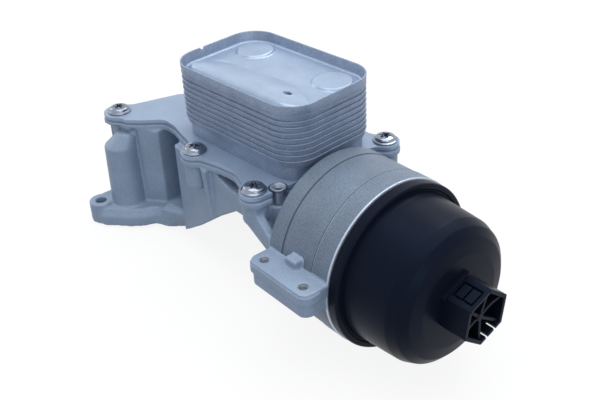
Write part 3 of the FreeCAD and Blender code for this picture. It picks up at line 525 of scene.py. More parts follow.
# Bowl's blasted finish: its specks and grain are its own, while its tone, darker than the casting's, is
# painted shade.
SHADED_BOWL = Finish("blasted_bowl_painted_shade", (122, 136, 154), 0.1, 0.45, specular=0.25, patch=0.16, speck=0.22,
              grain_size=0.8, relief=0.08)


def finish(slot: str) -> bpy.types.Material:
    """Material of one of the record's slots."""
    return FINISHES[slot].material()


def settle(piece: Piece, body: str, slot: str, *nodes: str) -> Piece:
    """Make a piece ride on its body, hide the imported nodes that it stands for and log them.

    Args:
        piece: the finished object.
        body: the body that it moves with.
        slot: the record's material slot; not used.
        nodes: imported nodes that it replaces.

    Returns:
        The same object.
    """
    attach(piece, body)
    if nodes:
        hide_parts(*nodes)
    LOG.info("%s on %s stands for %s", piece.name, body, ", ".join(nodes) or "no node")
    return piece


def housing_piece(name: str, parts: list[Grid], slot: str, *nodes: str, look: Finish | None = None,
                  sharp: float = 38.0) -> Piece:
    """Make and settle a piece of the housing.

    Args:
        name: the piece's name.
        parts: its grids, as add_mesh takes them.
        slot: the record's material slot.
        nodes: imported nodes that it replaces.
        look: its finish, where that isn't the slot's.
        sharp: angle in degrees above which an edge stays hard.

    Returns:
        The piece.
    """
    look = look or FINISHES[slot]
    return settle(add_mesh(name, parts, look.material(), sharp), "housing", slot, *nodes)


@dataclass
class Casting:
    """The die casting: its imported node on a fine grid, smoothed so that every corner becomes a fillet."""

    grid: float = 0.72
    smoothing: int = 3
    most_triangles: int = 190000
    pillar: Spot = (-12.6, -48.4)
    cone_foot: Spot = (50.0, 10.0)
    cone_top: Spot = (61.7, 3.8)
    cone_lean: Spot = (3.2, 6.2)
    cut_radius: float = 11.3
    boss: Spot = (-20.2, -42.0)
    boss_outline: tuple[Spot, ...] = ((44.0, 0.0), (44.0, 3.0), (50.0, 5.5), (62.5, 5.5), (62.5, 0.0))
    skirt: tuple[tuple[float, tuple[Spot, ...]], ...] = (
        (0.0, ((13.0, -41.6), (16.5, -40.2), (21.0, -35.4), (24.0, -32.2), (26.0, -28.0), (13.0, -28.0))),
        (5.5, ((13.0, -42.0), (16.5, -40.6), (22.0, -37.4), (27.0, -34.4), (31.0, -28.0), (13.0, -28.0))),
        (12.0, ((13.0, -42.2), (16.5, -40.8), (22.5, -38.6), (28.5, -36.2), (34.0, -28.0), (13.0, -28.0))),
        (15.0, ((13.0, -36.0), (16.5, -36.0), (22.5, -35.6), (28.5, -34.8), (34.0, -28.0), (13.0, -28.0))))

    def build(self, node: Piece) -> None:
        """Cut the pillar's cone, add foot and boss, then grid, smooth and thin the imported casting's copy.

        Args:
            node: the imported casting.
        """
        mesh = node.data.copy()
        merge_doubles(mesh)
        skin = add_object("casting_skin", mesh)
        cutter = self._pillar_cutter()
        add_modifier(skin, "pillar_cone", "BOOLEAN", operation="DIFFERENCE", solver="EXACT", object=cutter)
        self._apply(skin)
        bpy.data.objects.remove(cutter)
        self._join(skin.data, self._foot_skirt())
        self._join(skin.data, self._corner_boss())
        voxel = self.grid * MM * 1.0
        add_modifier(skin, "cast_grid", "REMESH", mode="VOXEL", voxel_size=voxel, use_smooth_shade=True)
        add_modifier(skin, "cast_fillets", "SMOOTH", factor=0.5, iterations=self.smoothing)
        self._apply(skin)
        triangles = 2 * len(skin.data.polygons)
        if triangles > self.most_triangles:
            add_modifier(skin, "fewer_faces", "DECIMATE", ratio=self.most_triangles / triangles)
            self._apply(skin)
        skin.data.shade_smooth()
        skin.data.materials.clear()
        skin.data.materials.append(finish("cast_aluminium"))
        LOG.info("%s had %d triangles before thinning", skin.name, triangles)
        settle(skin, "housing", "cast_aluminium", "housing_casting")

    def _pillar_cutter(self) -> Piece:
        """Ring round the corner pillar's top, whose inside is the leaning cone that the pillar ends in.

        Returns:
            The cutter.
        """
        (foot, foot_radius), (top, top_radius) = self.cone_foot, self.cone_top
        outline = [(foot, foot_radius), (top, top_radius), (top, self.cut_radius), (foot, self.cut_radius)]
        segments = 48
        points, quads = turned(np.array(outline), self.pillar, Axis.UPRIGHT, segments)
        points[segments:2 * segments, :2] += self.cone_lean
        return add_mesh("pillar_cutter", [(points, quads)], finish("cast_aluminium"))

    def _corner_boss(self) -> Piece:
        """Screw boss that runs from the deck's corner down into the pillar's cone."""
        shape = turned(np.array(self.boss_outline), self.boss, Axis.UPRIGHT, 40, closed=False)
        return add_mesh("corner_boss", [shape], finish("cast_aluminium"))

    def _foot_skirt(self) -> Piece:
        """Foot of the front wall: its outline opens from the flange's to the wall's as it rises."""
        rings = [np.array([(x, y, level) for x, y in outline]) for level, outline in self.skirt]
        return add_mesh("foot_skirt", [stacked(rings)], finish("cast_aluminium"))

    def _join(self, mesh: bpy.types.Mesh, extra: Piece) -> None:
        """Add a closed piece to a mesh and delete the piece's own object.

        Args:
            mesh: the mesh that grows.
            extra: the piece.
        """
        work = bmesh.new()
        work.from_mesh(mesh)
        work.from_mesh(extra.data)
        work.to_mesh(mesh)
        work.free()
        bpy.data.objects.remove(extra)

    def _apply(self, piece: Piece) -> None:
        """Bake a piece's modifiers into its mesh.

        Args:
            piece: the object.
        """
        graph = bpy.context.evaluated_depsgraph_get()
        graph.update()
        baked = bpy.data.meshes.new_from_object(piece.evaluated_get(graph))
        piece.modifiers.clear()
        piece.data = baked


@dataclass
class BowlBands:
    """Crisp steps round the outside of the filter bowl, dark rings of painted shade in their grooves and the
    mouth's bright edge.
    """

    start: float = 126.6
    band_end: float = 137.3
    collar_start: float = 160.0
    mouth: float = 171.9
    band_radius: float = 46.0
    middle_radius: float = 45.8
    collar_radius: float = 46.1
    depth: float = 1.4
    overlap: float = 6.0
    groove: float = 0.75
    band_flank: float = 0.45
    collar_flank: float = 0.5
    groove_round: float = 0.15
    shade_half: float = 0.4
    shade_sink: float = 0.05
    edge_width: float = 0.9
    edge_stand: float = 0.05
    edge_front: float = 0.3

    def _ring(self, name: str, look: Finish, *outlines: np.ndarray) -> None:
        """Turn closed outlines round the filter axis as one piece."""
        parts = [turned(outline, segments=256) for outline in outlines]
        housing_piece(name, parts, "cast_aluminium", look=look)

    def build(self) -> None:
        """Thin turned rings on the bowl: the stepped band, a dark ring of painted shade in each groove, and
        the edge.
        """
        low, arc = self.middle_radius - self.depth, self.groove_round
        shade_top = self.band_radius - self.shade_sink
        edge_low, edge_top = self.collar_radius - self.depth, self.collar_radius + self.edge_stand
        edge_back = self.mouth - self.edge_width
        # The band carries the bowl's darker tone, which paints the bowl's shade.
        self._ring("bowl_bands", SHADED_BOWL, rounded_profile([
            (self.start + self.overlap, low, 0), (self.start, low, 0), (self.start, self.band_radius, 1.6),
            (self.band_end - self.band_flank, self.band_radius, arc),
            (self.band_end, self.band_radius - self.groove, arc),
            (self.band_end + self.band_flank, self.middle_radius, arc),
            (self.collar_start - self.collar_flank, self.middle_radius, arc),
            (self.collar_start, self.middle_radius - self.groove, arc),
            (self.collar_start + self.collar_flank, self.collar_radius, arc),
            (self.mouth, self.collar_radius, 0.7), (self.mouth, low, 0), (self.start + self.overlap, low, 0),
        ]))
        # Dark rings sunk in the grooves: painted shade standing in for the grooves' shadow.
        self._ring("bowl_groove_shade", GROOVE_SHADE, *(np.array([
            (at - self.shade_half, low), (at - self.shade_half, shade_top),
            (at + self.shade_half, shade_top), (at + self.shade_half, low),
        ]) for at in (self.band_end, self.collar_start)))
        self._ring("mouth_edge", MACHINED, rounded_profile([
            (edge_back, edge_low, 0), (edge_back, edge_top, 0.1), (self.mouth, edge_top, 0.3),
            (self.mouth + self.edge_front, edge_low, 0.1), (edge_back, edge_low, 0),
        ]))


@dataclass
class BracketThreads:
    """Tapped threads in the two bracket holes."""

    spots: tuple[Spot, ...] = ((134.5, -53.8), (164.5, -53.8))
    start: float = 43.75
    end: float = 33.0
    radius: float = 2.52
    crest: float = 0.42
    pitch: float = 0.8
    lead_in: float = 0.9
    wall: float = 0.15

    def build(self) -> None:
        """Tube whose inner radius dips by a triangle wave of height over the pitch less the turn."""
        rows, segments = 140, 40
        angle = circle(segments)
        height = np.linspace(self.start, self.end, rows)[:, None]
        wave = triangle_wave(height / self.pitch - angle / (2 * np.pi))
        inner = self.radius - self.crest * wave * smooth_step((self.start - height) / self.lead_in)
        out = np.concatenate([inner, np.full((rows, segments), self.radius + self.wall)])
        along = np.concatenate([height, height[::-1]])
        quads = grid_quads(2 * rows, segments, True)
        parts = [(placed(along, out, angle, spot, Axis.UPRIGHT), quads) for spot in self.spots]
        housing_piece("bracket_threads", parts, "cast_aluminium", look=THREAD)


@dataclass
class BracketLip:
    """Upper band round the bracket's sides, which stands a little over the drafted part below."""

    left: float = 128.0
    right: float = 172.0
    front: float = -60.0
    back: Spot = (-45.0, -50.0)
    corner: float = 5.0
    section: tuple[Spot, ...] = (
        (-1.5, 43.1), (0.0, 43.0), (0.55, 42.3), (0.55, 38.3), (0.0, 38.0), (-1.5, 38.0))

    def build(self) -> None:
        """Carry the section along the bracket's sides; its offset goes along the outline's normal."""
        path = rounded_profile([
            (self.left, self.back[0], 0), (self.left, self.front, self.corner),
            (self.right, self.front, self.corner), (self.right, self.back[1], 0),
        ], 8.0)
        way = unit(np.gradient(path, axis=0))
        outward = np.column_stack([way[:, 1], -way[:, 0]])
        offset, height = np.array(self.section).T
        rings = [np.column_stack([spot + offset[:, None] * out, height]) for spot, out in zip(path, outward)]
        housing_piece("bracket_lip", [stacked(rings)], "cast_aluminium", sharp=30.0)


@dataclass
class CoolerFrame:
    """The cooler's own axes and its rounded outline."""

    centre: Spot = (72.3, 5.0)
    turn: float = 3.9
    length: float = 99.2
    width: float = 64.4
    corner: float = 16.6

    def outline(self, count: int) -> tuple[np.ndarray, np.ndarray]:
        """Rounded rectangle: each point's corner arc is chosen by its share of the way round.

        Args:
            count: number of points, a multiple of four.

        Returns:
            Points and outward directions in the cooler's axes.
        """
        straight = np.array([self.length, self.width, self.length, self.width]) - 2 * self.corner
        arc = math.pi / 2 * self.corner
        ends = np.cumsum(np.ravel(np.column_stack([np.full(4, arc), straight])))
        starts = np.concatenate([[0.0], ends[:-1]])
        way = np.arange(count) / count * ends[-1]
        stretch = np.searchsorted(ends, way, side="right")
        past = way - starts[stretch]
        quarter, on_arc = stretch // 2, stretch % 2 == 0
        angle = quarter * np.pi / 2 + np.where(on_arc, past / self.corner, np.pi / 2)
        outward = np.column_stack([np.cos(angle), np.sin(angle)])
        tangent = np.column_stack([-np.sin(angle), np.cos(angle)])
        signs = np.array([(1, 1), (-1, 1), (-1, -1), (1, -1)])[quarter]
        middle = signs * np.array([self.length / 2 - self.corner, self.width / 2 - self.corner])
        return middle + outward * self.corner + tangent * np.where(on_arc, 0.0, past)[:, None], outward

    def to_part(self, points: np.ndarray) -> np.ndarray:
        """Turn cooler-axes points about the upright axis and move them to the cooler's centre.

        Args:
            points: rows of x, y, z in the cooler's axes.

        Returns:
            The points in the part's frame.
        """
        along = heading(math.radians(self.turn))
        across = np.array([-along[1], along[0]])
        return np.column_stack([self.centre + points[:, :1] * along + points[:, 1:2] * across, points[:, 2]])


@dataclass
class CoolerCover:
    """Top stamping of the cooler: floor with bosses, raised front pad and vent hole, and a standing rim."""

    frame: CoolerFrame
    level: float = 104.55
    rim_top: float = 110.7
    sheet: float = 0.85
    fillet: float = 1.1
    flare: float = 1.25
    top_inset: float = 0.28
    shoulder_rise: float = 0.9
    bosses: tuple[Triple, ...] = ((-32.2, 16.9, 11.3), (31.2, 15.3, 11.7))
    boss_height: float = 1.5
    boss_flank: float = 1.7
    boss_spread: float = 0.4
    hole: Spot = (27.2, -13.2)
    hole_radius: float = 2.1
    hole_depth: float = 4.0
    hole_flank: float = 0.5
    bore_sink: float = 0.7
    bore_lap: float = 0.1
    bore_side: float = 2.0
    lip_height: float = 0.3
    lip_offset: float = 0.8
    pad_height: float = 5.0
    pad_reach: float = 27.0
    roll_off: float = 5.5
    crease_depth: float = 0.35
    crease_half: float = 0.8
    crease_fade: Spot = (4.0, 6.0)
    notch: Spot = (-49.6, -8.4)
    notch_depth: float = 1.3
    notch_radius: float = 1.6
    notch_flank: float = 0.6
    notch_fade: Spot = (2.0, 1.5)
    crease: tuple[Spot, ...] = (
        (-60.0, -20.0), (-44.4, -9.9), (-38.5, -6.2), (-33.3, -3.9), (-26.5, -2.5), (-19.5, -1.6),
        (-7.1, -0.7), (4.5, 0.1), (13.5, -0.1), (22.1, -1.3), (27.5, -2.8), (33.0, -5.0), (40.0, -8.6),
        (60.0, -22.0))

    def _from_rim(self, x: np.ndarray, y: np.ndarray) -> np.ndarray:
        """Distance in from the rounded outline, by the distance to a box less the corner's radius.

        Args:
            x: places along the cooler.
            y: places across the cooler.

        Returns:
            Distances in millimetres.
        """
        past_x = np.abs(x) - self.frame.length / 2 + self.frame.corner
        past_y = np.abs(y) - self.frame.width / 2 + self.frame.corner
        outside = np.hypot(np.maximum(past_x, 0), np.maximum(past_y, 0))
        return self.frame.corner - outside - np.minimum(np.maximum(past_x, past_y), 0.0)

    def height(self, x: np.ndarray, y: np.ndarray) -> np.ndarray:
        """Floor height over its level: front pad, bosses, pit of the hole and the fillet to the rim.

        The pad rises by a sine of the distance in front of the crease and rolls off before the rim.
        The crease and the hole's lip are bell curves, a boss is a smooth plateau, and the fillet is a
        quarter circle of the distance from the rim.

        Args:
            x: places along the cooler.
            y: places across the cooler.

        Returns:
            Heights in millimetres.
        """
        line = np.array(self.crease)
        ahead = np.interp(x, line[:, 0], line[:, 1]) - y
        from_rim = self._from_rim(x, y) - self.flare - self.sheet
        rise = np.sin(np.clip(ahead / self.pad_reach, 0.0, 1.0) * np.pi / 2)
        total = self.pad_height * rise * smooth_step(from_rim / self.roll_off)
        fade_start, fade_length = self.crease_fade
        groove = np.exp(-(ahead / self.crease_half) ** 2) * smooth_step((from_rim - fade_start) / fade_length)
        total = total - self.crease_depth * groove
        for boss_x, boss_y, radius in self.bosses:
            inside = radius + self.boss_spread - np.hypot(x - boss_x, y - boss_y)
            total = total + self.boss_height * smooth_step(inside / self.boss_flank)
        past_hole = np.hypot(x - self.hole[0], y - self.hole[1]) - self.hole_radius
        lip = self.lip_height * np.exp(-((past_hole - self.lip_offset) / self.hole_flank) ** 2)
        pit = self.hole_depth * smooth_step(0.5 - past_hole / self.hole_flank)
        past = np.clip(self.fillet - from_rim, 0.0, self.fillet * 0.98)
        return total + lip + self.fillet - np.sqrt(self.fillet ** 2 - past ** 2) - pit

    def floor(self) -> None:
        """Rows run from the middle of the floor out to the rim's inside, down and back under."""
        count, fine_from, hidden_lap = 480, 0.8, 0.4
        spots, outward = self.frame.outline(count)
        edge = self.flare + self.sheet
        coarse = np.linspace(0.0, fine_from, 60, endpoint=False)
        share = np.concatenate([coarse, np.linspace(fine_from, 1.0, 48)])
        top_xy = (share[:, None, None] * (spots - outward * edge)[None]).reshape(-1, 2)
        top_z = self.level + self.height(top_xy[:, 0], top_xy[:, 1])
        hidden = spots - outward * (edge - hidden_lap)
        points = np.column_stack([
            np.concatenate([top_xy, hidden, hidden, np.zeros((count, 2))]),
            np.concatenate([top_z, top_z[-count:], np.full(2 * count, self.level - self.sheet)])])
        parts = [(self.frame.to_part(points), grid_quads(len(share) + 3, count))]
        housing_piece("cooler_top", parts, "cover_aluminium", "cooler_cover", sharp=60.0)

    def rim(self) -> None:
        """Upright band round the floor; its top dips at a small notch."""
        count = 960
        spots, outward = self.frame.outline(count)
        low, inside = self.level - self.sheet, self.flare + self.sheet
        shoulder = (self.level + self.shoulder_rise, self.top_inset, 0)
        wall = rounded_profile([
            shoulder, (self.rim_top, 0.0, 0.38), (self.rim_top, self.sheet, 0.38), (self.level, inside, 0.2),
            (low, inside, 0.1), (low, self.flare, 0.2), shoulder,
        ])[:-1]
        xy = (spots[None] - outward[None] * wall[:, 1][:, None, None]).reshape(-1, 2)
        z = np.repeat(wall[:, 0], count)
        in_notch = smooth_step((self.notch_radius - np.hypot(*(xy - self.notch).T)) / self.notch_flank)
        fade_start, fade_length = self.notch_fade
        z -= self.notch_depth * in_notch * smooth_step((z - self.rim_top + fade_start) / fade_length)
        parts = [(self.frame.to_part(np.column_stack([xy, z])), grid_quads(len(wall), count, True))]
        housing_piece("cover_rim", parts, "brazed_aluminium")

    def bore(self) -> None:
        """Dark disc low in the vent hole: painted shade for the hole's depth."""
        spot = self.frame.to_part(np.array([[*self.hole, 0.0]]))[0, :2]
        x, y = np.array([[self.hole[0] + self.hole_radius + self.bore_side], [self.hole[1]]])
        low, high = self.level - self.sheet, self.level + self.height(x, y)[0] - self.bore_sink
        radius = self.hole_radius + self.bore_lap
        disc = np.array([(low, 0.0), (low, radius), (high, radius), (high, 0.0)])
        parts = [turned(disc, spot, Axis.UPRIGHT, 40, closed=False)]
        # The disc's dark tone is painted shade where the hole is deep.
        housing_piece("vent_painted_shade", parts, "cover_aluminium", look=SHADE)

    def build(self) -> None:
        """Make the floor, the painted shade in the vent's hole and the rim."""
        self.floor()
        self.bore()
        self.rim()


@dataclass
class DishLips:
    """Rolled edges of the nested dishes."""

    frame: CoolerFrame
    first: float = 75.3
    pitch: float = 3.25
    skirt: float = 3.75
    count: int = 9
    roll: float = 0.42
    inset: float = 0.55
    roll_in: float = 0.4
    roll_down: float = 0.6

    def build(self) -> None:
        """A round bead carried along the cooler's outline at each dish's edge."""
        spots, outward = self.frame.outline(320)
        angle = circle(8)
        inset = self.inset + self.roll * self.roll_in - self.roll * np.cos(angle)
        rings = (spots[None] - outward[None] * inset[:, None, None]).reshape(-1, 2)
        bead = np.repeat(self.roll * np.sin(angle), len(spots)) + self.skirt
        bead -= self.roll * self.roll_down
        quads = grid_quads(len(angle), len(spots), True)
        levels = [self.first + index * self.pitch for index in range(self.count)]
        parts = [(self.frame.to_part(np.column_stack([rings, level + bead])), quads) for level in levels]
        housing_piece("dish_lips", parts, "brazed_aluminium", sharp=80.0)


@dataclass
class DeckScrews:
    """Six pan-head screws with a washer flange and a six-lobed recess."""

    spots: tuple[Spot, ...] = (
        (-20.4, -41.8), (53.0, -37.0), (109.5, -39.1), (118.6, 45.8), (17.0, 41.0), (66.0, 48.0))
    seat: float = 67.0
    washer: float = 6.9
    washer_thick: float = 1.3
    head: float = 5.7
    head_height: float = 3.8
    crown: float = 1.1
    star: float = 3.3
    star_lobe: float = 0.26
    star_depth: float = 2.3
    star_flank: float = 0.35
    shank: float = 2.45
    length: float = 16.0
    pitch: float = 0.8
    thread_depth: float = 0.18
    turn_each: float = 0.55
    star_points: int = 6
    dome_share: float = 0.72
    thread_start: float = 0.4
    tip_length: float = 0.3
    tip_taper: float = 0.5

    def build(self) -> None:
        """Turned screw; inside the recess the head sinks where the radius is under the star's.

        The star's radius is its mean plus a cosine of six times the angle, and the thread is a
        triangle wave of the place along a helix.
        """
        segments, dome_rows, rod_rows = 72, 22, 80
        angle = circle(segments)
        top, washer_top = self.seat + self.head_height, self.seat + self.washer_thick
        dome_out = np.linspace(0.0, self.head * self.dome_share, dome_rows)
        dome = np.column_stack([top - self.crown * (dome_out / self.head) ** 2, dome_out])
        skirt = rounded_profile([
            (*dome[-1], 0), (top - self.crown, self.head, 1.3), (washer_top, self.head + 0.15, 0.3),
            (washer_top - 0.25, self.washer, 0.35), (self.seat, self.washer, 0.15),
            (self.seat, self.shank, 0.1),
        ])[1:]
        rod_end = self.seat - self.length
        tip_level = rod_end - self.tip_length
        rod_levels = np.linspace(self.seat - self.thread_start, rod_end, rod_rows)
        rod = np.column_stack([rod_levels, np.full(rod_rows, self.shank)])
        tip = np.array([(tip_level, self.shank - self.tip_taper), (tip_level, 0.0)])
        profile = np.concatenate([dome, skirt, rod, tip])
        along, out = np.tile(profile[:, :1], segments), np.tile(profile[:, 1:], segments)
        star = self.star * (1.0 - self.star_lobe + self.star_lobe * np.cos(self.star_points * angle))
        inside = (star - out[:dome_rows]) / self.star_flank
        along[:dome_rows] -= self.star_depth * smooth_step(inside + 0.5)
        first = dome_rows + len(skirt)
        rows = slice(first, first + rod_rows)
        wave = triangle_wave(along[rows] / self.pitch - angle / (2 * np.pi))
        out[rows] += self.thread_depth * (wave - 0.5)
        quads = grid_quads(len(profile), segments)
        parts = [(placed(along, out, angle + self.turn_each * index, spot, Axis.UPRIGHT), quads)
                 for index, spot in enumerate(self.spots)]
        housing_piece("deck_screws", parts, "screw_steel", "cooler_screws", sharp=45.0)


@dataclass
class PlateEyelet:
    """Flared hollow rivet in the plate's notch."""

    spot: Spot = (116.0, -28.4)
    foot: float = 55.0
    top: float = 67.8
    shank: float = 2.5
    bore: float = 1.75
    rim: float = 4.4

    def build(self) -> None:
        """Turned tube whose upper end flares and rolls over."""
        outline = rounded_profile([
            (self.foot, self.bore, 0), (self.foot, self.shank, 0.2), (self.top - 2.6, self.shank, 1.4),
            (self.top - 0.9, self.rim - 0.3, 0.5), (self.top - 0.35, self.rim, 0.4),
            (self.top, self.rim - 0.5, 0.4), (self.top - 0.5, self.rim - 1.5, 0.5),
            (self.top - 2.2, self.bore, 1.0), (self.foot, self.bore, 0),
        ])
        parts = [turned(outline, self.spot, Axis.UPRIGHT, 64)]
        housing_piece("plate_eyelet", parts, "eyelet_steel", "locating_eyelet")


@dataclass
class ValveSpring:
    """Coil spring of the bypass valve, drawn at one length; the real spring shortens as the poppet lifts."""

    coil: float = 3.6
    wire: float = 0.45
    turns: float = 5.0
    lift: float = 4.0

    def build(self) -> None:
        """Round wire along a helix; its end turns lie closer by a smoothed share of the way along."""
        low, high = (np.array(corner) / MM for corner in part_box("bypass_spring"))
        start, end = low[0] + self.wire, high[0] - self.wire
        share = np.linspace(0.0, 1.0, 240)
        angle = 2 * np.pi * self.turns * share
        along = start + (end - start) * (share + smooth_step(share)) / 2
        outward = np.column_stack([np.zeros_like(angle), np.cos(angle), np.sin(angle)])
        centre = outward * self.coil + along[:, None] * [1.0, 0.0, 0.0] + [0.0, *FILTER_AXIS]
        across = np.cross(unit(np.gradient(centre, axis=0)), outward)
        around = circle(12)[None, :, None]
        wire = np.cos(around) * outward[:, None] + np.sin(around) * across[:, None]
        rings = centre[:, None] + self.wire * wire
        piece = housing_piece("valve_spring", [stacked(list(rings))], "spring_steel", "bypass_spring")
        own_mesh(piece)


@dataclass
class CapBody:
    """Black screw cap: threaded skirt, flange, tapered body, rounded shoulder and shallow crown."""

    skirt_end: float = 152.0
    skirt: float = 38.6
    skirt_inside: float = 34.4
    groove: float = 167.0
    groove_half: float = 2.0
    groove_depth: float = 2.6
    flange_back: float = 172.3
    flange_front: float = 178.5
    flange: float = 45.6
    neck: float = 40.6
    front: float = 215.4
    body: float = 39.6
    shoulder: float = 11.4
    wall: float = 3.0
    thread_turns: float = 2.4
    thread_lead: float = 4.0
    thread_depth: float = 1.2
    thread_gap: float = 1.6
    ridge_slope: float = 2.5
    ridge_level: float = 1.6
    end_slope: float = 4.0
    thread_span: Spot = (0.8, 0.6)
    groove_margin: float = 0.3

    def build(self) -> Grid:
        """Turned shell; on the skirt the radius adds a trapezium wave of the place along a helix.

        Returns:
            Points and quads of the cap without its drive.
        """
        groove_back, groove_front = self.groove - self.groove_half, self.groove + self.groove_half
        groove_floor, inner_front = self.skirt - self.groove_depth, self.front - self.wall
        rod_start, rod_end = self.skirt_end + self.thread_span[0], groove_back - self.thread_span[1]
        rod = [(x, self.skirt, 0.0) for x in np.linspace(rod_start, rod_end, 60)]
        outside = [
            (self.front + 0.5, 0.0, 0), (self.front + 0.4, 13.0, 8.0), (self.front - 0.2, 25.5, 7.0),
            (self.front - 1.9, 32.6, 3.6), (self.front - 5.4, 36.9, 3.2), (self.front - 11.0, 39.1, 4.6),
            (self.front - 18.0, self.body, 14.0), (self.flange_front + 2.6, self.neck, 6.0),
            (self.flange_front + 0.1, self.neck + 0.5, 0.6), (self.flange_front - 0.9, self.neck + 0.9, 0.3),
            (self.flange_front - 0.8, self.neck + 1.7, 0.3), (self.flange_front, self.neck + 2.1, 0.3),
            (self.flange_front, self.flange, 1.3), (self.flange_back, self.flange, 0.7),
            (self.flange_back, self.skirt + 0.8, 0.2), (groove_front, self.skirt + 0.8, 0.25),
            (groove_front, groove_floor, 0.3), (groove_back, groove_floor, 0.3),
            (groove_back, self.skirt, 0.2),
        ]
        inside = [
            (self.skirt_end, self.skirt - 0.9, 0.3), (self.skirt_end, self.skirt_inside, 0.4),
            (self.flange_front - 2.0, self.skirt_inside, 1.5),
            (self.flange_front + 3.0, self.neck - self.wall, 1.5),
            (inner_front - 1.2, self.body - self.wall, self.shoulder - self.wall),
            (inner_front, 25.0, 2.0), (inner_front, 0.0, 0),
        ]
        profile = rounded_profile(outside + rod[::-1] + inside, 6.0)
        segments = 200
        angle = circle(segments)
        along, out = profile[:, :1], np.tile(profile[:, 1:], segments)
        helix = (along - self.skirt_end - self.thread_gap) / self.thread_lead - angle / (2 * np.pi)
        ridge = np.clip(self.ridge_level - self.ridge_slope * triangle_wave(helix), 0.0, 1.0)
        ends = smooth_step(helix * self.end_slope)
        ends *= smooth_step((self.thread_turns - helix) * self.end_slope)
        on_skirt = (np.abs(out - self.skirt) < 0.01) & (along < groove_back - self.groove_margin)
        out += np.where(on_skirt, ridge * ends * self.thread_depth, 0.0)
        return placed(along, out, angle, FILTER_AXIS, Axis.FILTER), grid_quads(len(profile), segments)


def corner_reach(flat_reach: float) -> float:
    """Distance from a hex's middle to its corners, from the distance to its flats."""
    return flat_reach / math.cos(math.radians(30))


